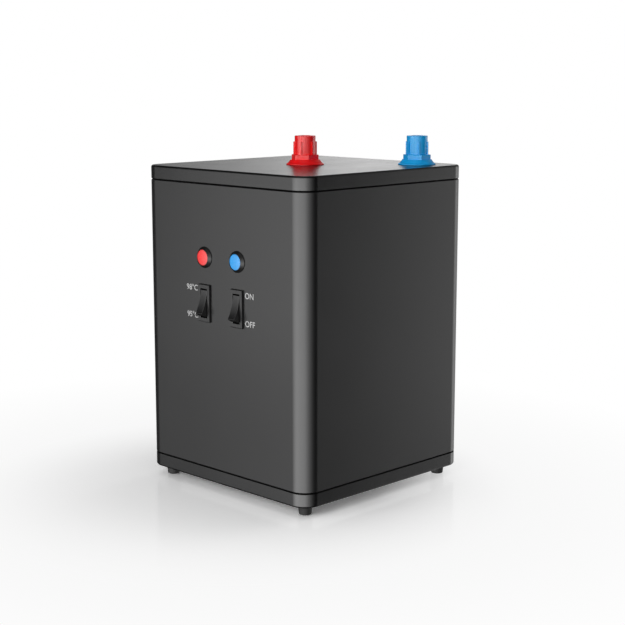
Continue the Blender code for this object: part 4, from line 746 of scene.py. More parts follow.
class FinishShelf:
    """Finishes made once and handed to the pieces that ask for them by name."""

    stock = (
        PowderCoat("casing_black", (0.0035, 0.0035, 0.0037), (0.0060, 0.0060, 0.0063), (0.31, 0.34)),
        MouldedPlastic("moulded_black", (0.0040, 0.0040, 0.0042), (0.0065, 0.0065, 0.0068), (0.24, 0.27)),
        MouldedPlastic("switch_black", (0.0040, 0.0040, 0.0042), (0.0065, 0.0065, 0.0068), (0.30, 0.36),
                       cell=0.0003, depth=0.000006, cloud=Grain(0.006, 3)),
        GlossPlastic("lamp_black", (0.006, 0.006, 0.006), (0.010, 0.010, 0.010), (0.34, 0.40)),
        LampLens("lens_red", (0.50, 0.020, 0.020), (0.74, 0.036, 0.036), (0.18, 0.30),
                 middle=(-PANEL_X, -CASING_HALF, LAMP_Z)),
        LampLens("lens_blue", (0.010, 0.18, 0.46), (0.024, 0.29, 0.68), (0.18, 0.30),
                 middle=(PANEL_X, -CASING_HALF, LAMP_Z)),
        PrintedInk("print_white", (0.52, 0.52, 0.52), (0.64, 0.64, 0.64), (0.45, 0.60)),
        Rubber("rubber_black", (0.010, 0.010, 0.010), (0.022, 0.022, 0.022), (0.62, 0.75)),
        # Near-black, almost unreflecting finish for the seam ledges: painted shade that stands in for the
        # shadow inside the seams
        Rubber("seam_painted_shade", (0.001, 0.001, 0.001), (0.002, 0.002, 0.002), (0.85, 0.95), shine=0.05),
        GlossPlastic("hot_red", (0.89, 0.003, 0.005), (0.97, 0.005, 0.008), (0.20, 0.28), shine=0.45),
        GlossPlastic("cold_blue", (0.002, 0.37, 0.82), (0.004, 0.41, 0.90), (0.20, 0.28), shine=0.45),
        DrawnMetal("stainless", (0.50, 0.50, 0.49), (0.64, 0.64, 0.62), (0.20, 0.38)),
        DrawnMetal("brass", (0.60, 0.42, 0.17), (0.76, 0.56, 0.27), (0.22, 0.40), lines=Grain(0.0009, 3)),
        Foam("foam_white", (0.84, 0.83, 0.80), (0.62, 0.61, 0.57), (0.80, 0.95)),
        MouldedPlastic("nylon_white", (0.70, 0.69, 0.64), (0.80, 0.79, 0.75), (0.42, 0.55)),
        Rubber("silicone_red", (0.42, 0.07, 0.045), (0.55, 0.11, 0.07), (0.45, 0.60)),
        MouldedPlastic("board_green", (0.015, 0.14, 0.05), (0.03, 0.24, 0.09), (0.28, 0.45),
                       cloud=Grain(0.006, 3)),
        GlossPlastic("part_blue", (0.03, 0.09, 0.36), (0.05, 0.13, 0.48), (0.28, 0.40)),
        MouldedPlastic("core_grey", (0.14, 0.14, 0.15), (0.24, 0.24, 0.25), (0.38, 0.55)),
        GlossPlastic("lead_red", (0.48, 0.02, 0.015), (0.62, 0.035, 0.025), (0.32, 0.45)),
        GlossPlastic("lead_blue", (0.02, 0.08, 0.46), (0.035, 0.12, 0.58), (0.32, 0.45)),
        GlossPlastic("lead_green", (0.03, 0.30, 0.04), (0.06, 0.44, 0.07), (0.32, 0.45)),
        GlossPlastic("lead_black", (0.008, 0.008, 0.008), (0.018, 0.018, 0.018), (0.32, 0.45)),
    )

    def __init__(self) -> None:
        """Start with nothing made yet."""
        self.made: dict[str, bpy.types.Material] = {}

    def take(self, name: str) -> bpy.types.Material:
        """The material of a finish, made the first time it is asked for.

        Args:
            name: the finish's name, which is its slot in the record where it has one.

        Returns:
            The material.
        """
        if name not in self.made:
            finish = next(finish for finish in self.stock if finish.slot == name)
            self.made[name] = finish.material()
        return self.made[name]


# Sub-assemblies


@dataclass
class SubAssembly(ABC):
    """Pieces that are modelled, dressed and mounted together."""

    shelf: FinishShelf
    pieces: list[Piece] = field(default_factory=list, init=False)

    @abstractmethod
    def build(self) -> None:
        """Model the pieces."""

    def mount(self, piece: Piece, slot: str, *nodes: str, body: str = TANK, finish: str = "") -> None:
        """Dress a finished piece, set it on its body and let it stand for its nodes.

        Args:
            piece: the finished piece.
            slot: the record's material slot.
            nodes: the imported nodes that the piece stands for.
            body: the body that carries it.
            finish: its finish, where it isn't the slot's own.
        """
        piece.data.materials.clear()
        piece.data.materials.append(self.shelf.take(finish or slot))
        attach(piece, body)
        if nodes:
            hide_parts(*nodes)
        self.pieces.append(piece)


@dataclass
class Casing(SubAssembly):
    """Sizes that the casing's pieces share."""

    width: float = 2 * CASING_HALF
    corner: float = 0.014
    underside: float = 0.0085
    seam: float = 0.0010
    sheet: float = 0.0012
    hem: float = 0.0062

    def round_corners(self) -> None:
        """Round the four upright corners of the block being edited."""
        round_edges(is_upright, self.corner, segments=14)


@dataclass
class SteelSleeve(Casing):
    """The folded sheet sleeve with its turned-in hems and cut-outs."""

    low: float = 0.0207
    high: float = 0.2545
    fold: float = 0.0006
    lamp_hole: float = 0.0063
    switch_hole: tuple[float, float] = (0.0120, 0.0282)
    gland_hole: float = 0.0063

    def build(self) -> None:
        """Model the sleeve, cut its openings and mount it."""
        sleeve = block("casing_sleeve", (self.width, self.width, self.high - self.low),
                       (0, 0, (self.low + self.high) / 2))
        with editing(sleeve):
            self.round_corners()
            choose(Pick.FACES, lambda face: abs(face.normal.z) > 1 - TINY)
            bpy.ops.mesh.inset(thickness=self.hem, use_even_offset=True)
            bpy.ops.mesh.delete(type="FACE")
        apply_modifier(sleeve, "SOLIDIFY", thickness=self.sheet, offset=-1, use_even_offset=True)
        with editing(sleeve):
            round_edges(self.is_fold, self.fold, segments=3)
        combine(sleeve, Combine.CUT, *self.cutters())
        self.mount(even_shading(sleeve), "casing_black", "body_sleeve")

    def is_fold(self, edge: bmesh.types.BMEdge) -> bool:
        """Whether an edge is on the outer fold of a hem.

        Args:
            edge: an edge of the sleeve.

        Returns:
            Whether it is.
        """
        if not any(at_height(height)(edge) for height in (self.low, self.high)):
            return False
        walls = [face for face in edge.link_faces if abs(face.normal.z) < TINY]
        return any(face.normal.xy.dot(face.calc_center_median().xy) > 0 for face in walls)

    def cutters(self) -> list[Piece]:
        """Shape the tools that open the front and rear walls.

        Returns:
            The tools in their places.
        """
        wide, tall = self.switch_hole
        tools = []
        for x in (-PANEL_X, PANEL_X):
            hole = bar("lamp_hole", self.lamp_hole, -CUT_SPARE, CUT_SPARE)
            tools.append(settle(hole, (x, -CASING_HALF, LAMP_Z), ON_FRONT))
            tools.append(block("switch_hole", (wide, 2 * CUT_SPARE, tall), (x, -CASING_HALF, SWITCH_Z)))
        gland = bar("gland_hole", self.gland_hole, -CUT_SPARE, CUT_SPARE)
        return [*tools, settle(gland, (GLAND_X, CASING_HALF, GLAND_Z), ON_REAR)]


class CapKind(Enum):
    """Which end of the casing a cap closes."""

    LID = "lid"
    BASE = "base"


@dataclass
class SnapCap(Casing):
    """A moulded tray that snaps into one end of the sleeve, used for the lid and the base.

    Its height goes to the middle of the seam.
    """

    kind: CapKind = CapKind.LID
    height: float = 0.0115
    plate: float = 0.0025
    edge: float = 0.0018
    rim_edge: float = 0.00025
    rim_step: float = 0.0006
    rim_wall: float = 0.0025
    rib_wall: float = 0.0018
    rib_reach: float = 0.0060
    ledge_slope: float = 0.5
    hook_width: float = 0.016
    hook_catch: float = 0.0011
    hook_face: float = 0.0007
    hook_slope: float = 0.0026
    hook_root: float = 0.0009
    hook_count: int = 4
    connector_hole: float = 0.0093
    foot_hole: float = 0.0033
    vent_size: tuple[float, float] = (0.0026, 0.036)
    vent_first: float = 0.072
    vent_pitch: float = 0.005
    vent_count: int = 3

    def build(self) -> None:
        """Model the cap, with its outer face down, turn it to its end and mount it."""
        tray = self.tray()
        combine(tray, Combine.ADD, self.hooks())
        combine(tray, Combine.CUT, *self.cutters())
        if self.kind is CapKind.LID:
            settle(tray, (0, 0, LID_TOP), (math.pi, 0, 0))
            self.mount(even_shading(tray), "moulded_black", "top_cap")
        else:
            settle(tray, (0, 0, self.underside))
            self.mount(even_shading(tray), "moulded_black", "base_cap")
        # Painted shade: the seam's ledge gets a near-black finish in place of the shadow in the seam
        self.paint_ledge_shade(tray)

    def tray(self) -> Piece:
        """Shape the tray: outer rim, ledge under the hem and inner rib.

        Returns:
            The tray.
        """
        rim = self.height - self.seam / 2
        ledge = self.seam - CLEARANCE
        rib = rim + self.seam + self.rib_reach - self.plate
        tray = block(self.kind.value, (self.width, self.width, rim), (0, 0, rim / 2))
        with editing(tray):
            self.round_corners()
            round_edges(at_height(0), self.edge, segments=6)
            round_edges(at_height(rim), self.rim_edge, segments=2)
            choose(Pick.FACES, at_height(rim))
            step_up(self.rim_step - self.rim_edge, ledge)
            step_up(self.rim_wall - self.rim_step, self.plate - rim - ledge)
            step_up(self.hem + CLEARANCE - self.rim_wall, rib)
            step_up(self.rib_wall, -rib)
        return tray

    def paint_ledge_shade(self, tray: Piece) -> None:
        """Paint the ledge inside the seam near-black and nearly unreflecting, as painted shade for the
        shadow in the seam.

        Args:
            tray: the cap in its place.
        """
        tray.data.materials.append(self.shelf.take("seam_painted_shade"))
        rim, tip = self.height - self.seam / 2, self.height + self.seam / 2 - CLEARANCE
        if self.kind is CapKind.LID:
            low, high = LID_TOP - tip, LID_TOP - rim
        else:
            low, high = self.underside + rim, self.underside + tip
        with editing(tray):
            choose(Pick.FACES, lambda face: abs(face.normal.z) < self.ledge_slope
                   and all(low - TINY < point.co.z < high + TINY for point in face.verts))
            tray.active_material_index = 1
            bpy.ops.object.material_slot_assign()

    def hooks(self) -> Piece:
        """Shape the snap hooks on the rib, one modelled and the rest copied.

        Returns:
            The hooks as one tool.
        """
        reach = self.width / 2 - self.hem - CLEARANCE
        foot = self.height + self.seam / 2 + self.sheet + CLEARANCE
        deep = self.hook_catch + self.hook_root
        hook = block("snap_hook", (deep, self.hook_width, self.hook_face),
                     (reach + self.hook_catch - deep / 2, 0, foot + self.hook_face / 2))
        top = foot + self.hook_face + self.hook_slope
        with editing(hook):
            choose(Pick.FACES, at_height(foot + self.hook_face))
            bpy.ops.mesh.extrude_region_move(TRANSFORM_OT_translate={"value": (0, 0, self.hook_slope)})
            choose(Pick.EDGES, lambda edge: at_height(top)(edge)
                   and all(point.co.x > reach for point in edge.verts))
            bpy.ops.transform.translate(value=(-self.hook_catch, 0, 0))
        return ring_of(hook, self.hook_count)

    def cutters(self) -> list[Piece]:
        """Shape the tools that open the cap's plate, in the cap's own frame.

        Returns:
            The tools in their places.
        """
        low, high = -CUT_SPARE, self.plate + CUT_SPARE
        if self.kind is CapKind.LID:
            return [bar("connector_hole", self.connector_hole, low, high, middle=(x, -y))
                    for x, y in (HOT_SPOT, COLD_SPOT)]
        reaches = (-FOOT_REACH, FOOT_REACH)
        tools = [bar("foot_hole", self.foot_hole, low, high, sides=32, middle=(x, y))
                 for x in reaches for y in reaches]
        tools.append(bar("drain_hole", DRAIN_RADIUS, low, high, sides=32, middle=DRAIN_SPOT))
        slot = block("vent_slot", (*self.vent_size, high - low), (0, 0, (low + high) / 2))
        with editing(slot):
            round_edges(is_upright, self.vent_size[0] / 2 - TINY, segments=5)
        for side in (-1, 1):
            for index in range(self.vent_count):
                place = (side * (self.vent_first + index * self.vent_pitch), 0, 0)
                tools.append(copy_of(slot, f"vent_slot_{side}_{index}", place))
        discard(slot)
        return tools


@dataclass
class RubberFeet(SubAssembly):
    """Four push-in feet with a barb above the base plate."""

    seat: float = 0.0082
    seat_edge: float = 0.0003
    neck_radius: float = 0.0030
    neck_edge: float = 0.0004
    barb_radius: float = 0.0042
    barb_lip: float = 0.0003
    barb_low: float = 0.0113
    barb_high: float = 0.0153
    top_radius: float = 0.0058
    low_radius: float = 0.0051
    edge: float = 0.0007
    dimple_radius: float = 0.0022
    dimple_depth: float = 0.0030
    steps: int = 48

    def build(self) -> None:
        """Turn one foot, then copy it to the four corners."""
        ease = self.edge * ROUND_IN
        foot = turn_on_lathe("foot", [
            (0, self.barb_high), (self.neck_radius - self.neck_edge, self.barb_high),
            (self.neck_radius, self.barb_high - self.neck_edge),
            (self.barb_radius, self.barb_low + self.barb_lip), (self.barb_radius, self.barb_low),
            (self.neck_radius, self.barb_low), (self.neck_radius, self.seat),
            (self.top_radius - self.seat_edge, self.seat), (self.top_radius, self.seat - self.seat_edge),
            (self.low_radius, self.edge), (self.low_radius - ease, ease), (self.low_radius - self.edge, 0),
            (self.dimple_radius, 0), (self.dimple_radius, self.dimple_depth), (0, self.dimple_depth)],
            self.steps)
        for end, y in (("front", -FOOT_REACH), ("rear", FOOT_REACH)):
            for side, x in (("left", -FOOT_REACH), ("right", FOOT_REACH)):
                copy = copy_of(foot, f"rubber_foot_{end}_{side}", (x, y, 0))
                self.mount(even_shading(copy), "rubber_black", f"foot_{end}_{side}")
        discard(foot)


class Water(Enum):
    """Which water a connector carries."""

    HOT = "hot_outlet"
    COLD = "cold_inlet"


@dataclass
class HoseConnector(SubAssembly):
    """A bulkhead connector: skirt, hexagonal collar, ribbed spigot and threaded tail."""

    water: Water = Water.HOT
    spot: Spot = HOT_SPOT
    slot: str = "hot_red"
    rib_phase: float = math.radians(-65)
    clearance: float = 0.0001
    skirt_radius: float = 0.01575
    skirt_rim: float = 0.0009
    skirt_lip: float = 0.0001
    skirt_hollow: float = 1.7
    skirt_steps: int = 6
    skirt_height: float = 0.0043
    skirt_top: float = 0.0123
    collar_radius: float = 0.0117
    collar_low: float = 0.0027
    collar_top: float = 0.0084
    collar_edge: float = 0.0005
    spigot_radius: float = 0.00875
    spigot_top: float = 0.0240
    spigot_edge: float = 0.0005
    rib_out: float = 0.0012
    rib_width: float = 0.0012
    rib_edge: float = 0.0003
    rib_drop: float = 0.0004
    rib_root: float = 0.0008
    rib_low: float = 0.0074
    rib_top: float = 0.0194
    rib_count: int = 6
    tail_radius: float = 0.0090
    tail_low: float = -0.0135
    tail_edge: float = 0.0006
    thread_pitch: float = 0.0016
    thread_share: float = 1 / 3
    socket_radius: float = 0.0053
    socket_depth: float = 0.0080
    bore_radius: float = 0.0046
    steps: int = 72

    def build(self) -> None:
        """Turn the body, add the collar and ribs, and set it on the lid."""
        body = turn_on_lathe(f"{self.water.value}_hose_connector", self.outline(), self.steps, closed=True)
        combine(body, Combine.ADD, self.collar())
        combine(body, Combine.ADD, self.ribs())
        settle(body, (*self.spot, LID_TOP))
        self.mount(even_shading(body), self.slot, f"{self.water.value}_connector")

    def outline(self) -> Outline:
        """Lay out the turned body, from the mouth down the outside and back up the bore.

        Returns:
            Points as (radius, height).
        """
        ease = self.spigot_edge
        soft = ease * ROUND_IN
        shoulder = self.tail_low + self.socket_depth
        points = [(self.bore_radius + ease, self.spigot_top), (self.spigot_radius - ease, self.spigot_top),
                  (self.spigot_radius - soft, self.spigot_top - soft),
                  (self.spigot_radius, self.spigot_top - ease), (self.spigot_radius, self.skirt_height)]
        for index in range(self.skirt_steps + 1):
            share = index / self.skirt_steps
            out = self.skirt_top + (self.skirt_radius - self.skirt_top) * share
            rise = (self.skirt_height - self.skirt_rim) * (1 - share) ** self.skirt_hollow
            points.append((out, self.skirt_rim + rise))
        return points + [
            (self.skirt_radius, self.clearance + self.skirt_lip),
            (self.skirt_radius - self.skirt_lip, self.clearance), (self.tail_radius, self.clearance),
            *self.thread(), (self.socket_radius, self.tail_low), (self.socket_radius, shoulder),
            (self.bore_radius, shoulder), (self.bore_radius, self.spigot_top - ease)]

    def thread(self) -> Outline:
        """Lay out the ridges of the tail's thread, from under the skirt down to the tail's end.

        Returns:
            Points as (radius, height).
        """
        points = []
        high = -self.thread_pitch
        root = self.tail_radius - self.thread_pitch * self.thread_share
        while high - self.thread_pitch > self.tail_low:
            points += [(self.tail_radius, high), (root, high - self.thread_pitch / 2)]
            high -= self.thread_pitch
        return points + [(self.tail_radius, high), (self.tail_radius - self.tail_edge, self.tail_low)]

    def collar(self) -> Piece:
        """Shape the hexagonal collar, with its bore cleared and its edges eased.

        Returns:
            The collar.
        """
        collar = bar("collar", self.collar_radius, self.collar_low, self.collar_top, sides=6)
        inner = (self.spigot_radius + self.bore_radius) / 2
        with editing(collar):
            round_edges(at_height(self.collar_top), self.collar_edge, segments=3)
            round_edges(is_upright, self.collar_edge / 2, segments=2)
        bore = bar("collar_bore", inner, self.collar_low - CUT_SPARE, self.collar_top + CUT_SPARE)
        return combine(collar, Combine.CUT, bore)

    def ribs(self) -> Piece:
        """Shape the upright ribs round the spigot, one modelled and the rest copied.

        Returns:
            The ribs as one tool.
        """
        reach = self.spigot_radius + self.rib_out
        root = self.spigot_radius - self.rib_root
        rib = block("rib", (reach - root, self.rib_width, self.rib_top - self.rib_low),
                    ((reach + root) / 2, 0, (self.rib_top + self.rib_low) / 2))
        with editing(rib):
            round_edges(lambda edge: is_upright(edge) and edge.verts[0].co.x > root + TINY,
                        self.rib_edge, segments=2)
            choose(Pick.POINTS, lambda point: abs(point.co.z - self.rib_top) < TINY
                   and point.co.x > root + TINY)
            bpy.ops.transform.translate(value=(0, 0, -self.rib_drop))
        return ring_of(rib, self.rib_count, self.rib_phase)


class LampColour(Enum):
    """The colour of a pilot lamp."""

    RED = "red"
    BLUE = "blue"


@dataclass
class PilotLamp(SubAssembly):
    """A pilot lamp: conical bezel with its barrel, and a lit lens."""

    colour: LampColour = LampColour.RED
    place: Place = (-PANEL_X, -CASING_HALF, LAMP_Z)
    base_radius: float = 0.0087
    rim_radius: float = 0.0068
    rim_width: float = 0.0003
    rim_round: float = 0.0001
    round_steps: int = 6
    height: float = 0.0029
    seat: float = 0.0016
    barrel_radius: float = 0.0060
    barrel_inner: float = 0.0048
    barrel_depth: float = 0.0120
    recess: float = 0.0001
    crown: float = 0.0003
    crown_shares: tuple[float, ...] = (0.0, 0.3, 0.55, 0.78)
    stem_radius: float = 0.0036
    stem_depth: float = 0.0040
    ease: float = 0.00015
    steps: int = 96

    def build(self) -> None:
        """Turn the bezel and the lens, and set them in the panel."""
        bezel = turn_on_lathe(f"{self.colour.value}_lamp_ring", self.ring_outline(), self.steps, closed=True)
        settle(bezel, self.place, ON_FRONT)
        self.mount(even_shading(bezel), "switch_black", f"{self.colour.value}_lamp_bezel",
                   finish="lamp_black")
        lens = turn_on_lathe(f"{self.colour.value}_lamp_cap", self.lens_outline(), self.steps)
        settle(lens, self.place, ON_FRONT)
        self.mount(even_shading(lens), f"lens_{self.colour.value}", f"{self.colour.value}_lamp_lens")

    def ring_outline(self) -> Outline:
        """Lay out the bezel: a narrow rim round the lens, and a flank that flares towards the panel.

        Returns:
            Points as (radius, height).
        """
        inner = self.rim_radius - self.rim_width
        ease = self.ease
        slope = math.atan2(self.base_radius - self.rim_radius, self.height)
        points = []
        for index in range(self.round_steps + 1):
            angle = QUARTER + (slope - QUARTER) * index / self.round_steps
            out = self.rim_radius - self.rim_round * (1 - math.cos(angle))
            points.append((out, self.height - self.rim_round * (1 - math.sin(angle))))
        return points + [
            (self.base_radius - ease / 2, CLEARANCE + 2 * ease), (self.base_radius, CLEARANCE),
            (self.barrel_radius, CLEARANCE), (self.barrel_radius, -self.barrel_depth),
            (self.barrel_inner, -self.barrel_depth), (self.barrel_inner, self.seat),
            (inner, self.seat), (inner, self.height - ease), (inner + ease, self.height)]

    def lens_outline(self) -> Outline:
        """Lay out the lens: a slightly crowned disc on a stem.

        Returns:
            Points as (radius, height).
        """
        low = self.seat + CLEARANCE
        edge = self.height - self.recess - self.crown
        crown = [(LENS_RADIUS * share, edge + self.crown * (1 - share ** 2)) for share in self.crown_shares]
        return crown + [
            (LENS_RADIUS - self.ease, edge), (LENS_RADIUS, edge - self.ease), (LENS_RADIUS, low),
            (self.stem_radius, low), (self.stem_radius, low - self.stem_depth), (0, low - self.stem_depth)]


class SwitchUse(Enum):
    """What a rocker switch does."""

    TEMPERATURE = "temperature"
    POWER = "power"


@dataclass
class RockerSwitch(SubAssembly):
    """A snap-in rocker switch: framed housing and a hollow-faced rocker on its pivot."""

    use: SwitchUse = SwitchUse.TEMPERATURE
    place: Place = (-PANEL_X, -CASING_HALF, SWITCH_Z)
    frame_size: tuple[float, float] = (0.01325, 0.0309)
    proud: float = 0.0018
    frame_edge: float = 0.0003
    frame_end: float = 0.0007
    opening: tuple[float, float] = (0.0081, 0.0239)
    opening_edge: float = 0.0002
    body_size: tuple[float, float] = (0.0114, 0.0276)
    body_depth: float = 0.0140
    barb_size: Place = (0.0050, 0.0016, 0.0045)
    barb_sunk: float = 1 / 3
    barb_low: float = -0.0015
    side_gap: float = 0.00035
    end_gap: float = 0.0009
    tilt: float = math.radians(17.5)
    tip_angle: float = math.radians(63)
    skirt_angle: float = math.radians(114)
    face_radius: float = 0.040
    face_segments: int = 24
    end_segments: int = 8
    rocker_edge: float = 0.0003
    rocker_edge_limit: float = math.radians(60)
    pivot_depth: float = 0.0003
    pivot_radius: float = 0.0012
    pivot_reach: float = 0.0009

    def build(self) -> None:
        """Model the housing and the rocker, facing up, then set them in the panel."""
        use = self.use.value
        housing = settle(self.housing(), self.place, ON_FRONT)
        self.mount(even_shading(housing), "switch_black", f"{use}_switch_housing")
        rocker = settle(self.rocker(), self.place, ON_FRONT)
        self.mount(even_shading(rocker), "switch_black", f"{use}_switch_rocker", body=f"{use}_rocker")

    def housing(self) -> Piece:
        """Shape the frame and the body behind the panel, with the well and the pivot's pockets.

        Returns:
            The housing.
        """
        middle = (self.proud + CLEARANCE) / 2
        housing = block(f"{self.use.value}_switch_frame", (*self.frame_size, self.proud - CLEARANCE),
                        (0, 0, middle))
        on_top = at_height(self.proud)
        with editing(housing):
            round_edges(lambda edge: on_top(edge) and self.runs_across(edge), self.frame_end, segments=3)
            round_edges(lambda edge: on_top(edge) and not self.runs_across(edge), self.frame_edge,
                        segments=3)
            round_edges(is_upright, 2 * self.frame_edge, segments=4)
        tall = self.body_depth + middle
        body = block("switch_body", (*self.body_size, tall), (0, 0, middle - tall / 2))
        combine(housing, Combine.ADD, body)
        for side in (-1, 1):
            combine(housing, Combine.ADD, self.barb(side))
        deep = self.body_depth + self.proud + 2 * CUT_SPARE
        well = block("switch_well", (*self.opening, deep), (0, 0, (self.proud - self.body_depth) / 2))
        combine(housing, Combine.CUT, well)
        reach = self.opening[0] / 2 + self.pivot_reach + CLEARANCE
        pocket = bar("pivot_pocket", self.pivot_radius + CLEARANCE, -reach, reach, sides=32)
        combine(housing, Combine.CUT, settle(pocket, (0, 0, -self.pivot_depth), (0, QUARTER, 0)))
        with editing(housing):
            round_edges(self.is_mouth, self.opening_edge, segments=2)
        return housing

    @staticmethod
    def runs_across(edge: bmesh.types.BMEdge) -> bool:
        """Whether an edge runs from side to side."""
        return abs(edge.verts[0].co.y - edge.verts[1].co.y) < TINY

    def is_mouth(self, edge: bmesh.types.BMEdge) -> bool:
        """Whether an edge is on the frame's inner mouth."""
        half_wide, half_tall = (size / 2 + TINY for size in self.opening)
        return at_height(self.proud)(edge) and all(
            abs(point.co.x) < half_wide and abs(point.co.y) < half_tall for point in edge.verts)

    def barb(self, side: int) -> Piece:
        """Shape a snap barb, sloping back to the body.

        Args:
            side: 1 for the upper barb, -1 for the lower one.

        Returns:
            The barb in its place.
        """
        wide, thick, long = self.barb_size
        half = self.body_size[1] / 2
        root = half - thick * self.barb_sunk
        barb = block("barb", (wide, thick, long), (0, root + thick / 2, self.barb_low - long / 2))
        with editing(barb):
            choose(Pick.EDGES, lambda edge: at_height(self.barb_low - long)(edge)
                   and all(point.co.y > half for point in edge.verts))
            bpy.ops.transform.translate(value=(0, half - root - thick, 0))
        return barb if side > 0 else settle(barb, turn=(0, 0, math.pi))

    def rocker(self) -> Piece:
        """Shape the rocker with its pivot pins, tipped to its resting side.

        Returns:
            The rocker.
        """
        width = self.opening[0] - 2 * self.side_gap
        rocker = draw_out(f"{self.use.value}_rocker_button", self.side_view(), width)
        apply_modifier(rocker, "BEVEL", width=self.rocker_edge, segments=3, limit_method="ANGLE",
                       angle_limit=self.rocker_edge_limit)
        reach = self.opening[0] / 2 + self.pivot_reach
        pins = bar("pivot_pins", self.pivot_radius, -reach, reach, sides=32)
        combine(rocker, Combine.ADD, settle(pins, turn=(0, QUARTER, 0)))
        return settle(rocker, (0, 0, -self.pivot_depth), (-self.tilt, 0, 0))

    def side_view(self) -> Outline:
        """Lay out the rocker about its pivot: hollow face, round ends and a cut-off back.

        Returns:
            Points as (Y, Z).
        """
        radius = self.opening[1] / 2 - self.end_gap
        tip_up = radius * math.sin(self.tip_angle)
        tip_out = radius * math.cos(self.tip_angle)
        rise = math.sqrt(self.face_radius ** 2 - tip_up ** 2)
        face = []
        for index in range(self.face_segments + 1):
            up = tip_up * (1 - 2 * index / self.face_segments)
            face.append((up, tip_out + rise - math.sqrt(self.face_radius ** 2 - up ** 2)))
        end = []
        for index in range(1, self.end_segments + 1):
            angle = self.tip_angle + (self.skirt_angle - self.tip_angle) * index / self.end_segments
            end.append((-radius * math.sin(angle), radius * math.cos(angle)))
        return face + end + [(-up, out) for up, out in reversed(end)]


@dataclass
class PanelPrint(SubAssembly):
    """The printed marks beside the switches, each with its words and its left, right, low and high."""

    thickness: float = 0.00005
    sink: float = 0.00001
    weight: float = 0.004
    half_depth: float = 0.5
    curve_steps: int = 6
    marks: tuple[tuple[str, str, float, float, float, float], ...] = (
        ("mark_98", "98°C", -0.0422, -0.0287, 0.1672, 0.1722),
        ("mark_95", "95°C", -0.0419, -0.0287, 0.1448, 0.1497),
        ("mark_on", "ON", 0.0283, 0.0381, 0.1672, 0.1720),
        ("mark_off", "OFF", 0.0283, 0.0396, 0.1448, 0.1496),
    )

    def build(self) -> None:
        """Set each mark as type, make it solid and fit it to its place."""
        for name, words, left, right, low, high in self.marks:
            mark = self.type_out(name, words)
            corners = [Vector(corner) for corner in mark.bound_box]
            first, last = (Vector(end(corner[axis] for corner in corners) for axis in range(3))
                           for end in (min, max))
            size = last - first
            mark.location = -first
            settle(mark)
            mark.scale = ((right - left) / size.x, (high - low) / size.y,
                          (self.thickness + self.sink) / size.z)
            settle(mark)
            settle(mark, (left, self.sink - CASING_HALF, low), ON_FRONT)
            self.mount(mark, "nylon_white", finish="print_white")

    def type_out(self, name: str, words: str) -> Piece:
        """Set words as solid type.

        Args:
            name: the piece's name.
            words: what it reads.

        Returns:
            The type as a mesh, not yet fitted to its place.
        """
        clear_selection()
        bpy.ops.object.text_add()
        mark = named(name)
        mark.data.body = words
        mark.data.offset = self.weight
        mark.data.extrude = self.half_depth
        mark.data.resolution_u = self.curve_steps
        pick(mark)
        bpy.ops.object.convert(target="MESH")
        return named(name)


@dataclass
class CordGland(SubAssembly):
    """The empty cord gland in the rear wall: flange, fluted dome and a round mouth."""

    flange_radius: float = 0.0100
    flange: float = 0.0026
    dome_radius: float = 0.0082
    dome_share: float = 0.7
    mouth_radius: float = 0.0058
    reach: float = 0.0080
    thread_radius: float = 0.0060
    thread_depth: float = 0.0110
    bore_radius: float = 0.0037
    flute_radius: float = 0.0009
    flute_count: int = 14
    ease: float = 0.0004
    steps: int = 84

    def build(self) -> None:
        """Turn the gland, cut its grip flutes and set it in the rear wall."""
        ease = self.ease
        shoulder = (self.flange + self.reach) / 2
        dome = self.mouth_radius + (self.dome_radius - self.mouth_radius) * self.dome_share
        gland = turn_on_lathe("cord_gland", [
            (self.mouth_radius - ease / 2, self.reach),
            (self.mouth_radius + ease / 2, self.reach - ease / 2), (dome, (shoulder + self.reach) / 2),
            (self.dome_radius, shoulder), (self.dome_radius, self.flange),
            (self.flange_radius - ease, self.flange), (self.flange_radius, self.flange - ease),
            (self.flange_radius, CLEARANCE), (self.thread_radius, CLEARANCE),
            (self.thread_radius, -self.thread_depth), (self.bore_radius, -self.thread_depth),
            (self.bore_radius, self.reach - ease), (self.bore_radius + ease, self.reach)],
            self.steps, closed=True)
        flute = bar("flute", self.flute_radius, self.flange + ease / 2, self.reach, sides=16,
                    middle=(self.dome_radius + self.flute_radius / 2, 0))
        combine(gland, Combine.CUT, ring_of(flute, self.flute_count))
        settle(gland, (GLAND_X, CASING_HALF, GLAND_Z), ON_REAR)
        self.mount(even_shading(gland), "moulded_black", "cable_gland")


@dataclass
class DrainScrew(SubAssembly):
    """The hexagonal plug on the drain tube's end, under the base."""

    radius: float = 0.0085
    low: float = 0.0022
    high: float = 0.0082
    edge: float = 0.0006
    socket_floor: float = 0.0042
    slot_size: tuple[float, float] = (0.0012, 0.0010)

    def build(self) -> None:
        """Shape the hexagon, hollow it for the tube and cut its coin slot."""
        plug = bar("drain_screw", self.radius, self.low, self.high, sides=6, middle=DRAIN_SPOT)
        with editing(plug):
            round_edges(at_height(self.low), self.edge, segments=2)
            round_edges(is_upright, self.edge / 2, segments=2)
        socket = bar("socket", DRAIN_RADIUS, self.socket_floor, self.high + CUT_SPARE, middle=DRAIN_SPOT)
        combine(plug, Combine.CUT, socket)
        wide, deep = self.slot_size
        slot = block("coin_slot", (2 * self.radius, wide, 2 * deep), (*DRAIN_SPOT, self.low))
        combine(plug, Combine.CUT, slot)
        self.mount(even_shading(plug), "brass", "drain_plug")


@dataclass
class HiddenWorks(SubAssembly):
    """The pieces inside the casing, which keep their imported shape."""

    def build(self) -> None:
        """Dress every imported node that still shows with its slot's finish."""
        slots = {row["node"]: row["material_slot"] for row in frame["record"]["subparts"]}
        for name, node in frame["nodes"].items():
            if node.hide_render:
                continue
            finish = self.shelf.take(slots[name])
            if not node.material_slots:
                node.data.materials.append(finish)
            for entry in node.material_slots:
                entry.material = finish
            self.pieces.append(node)


# Studio


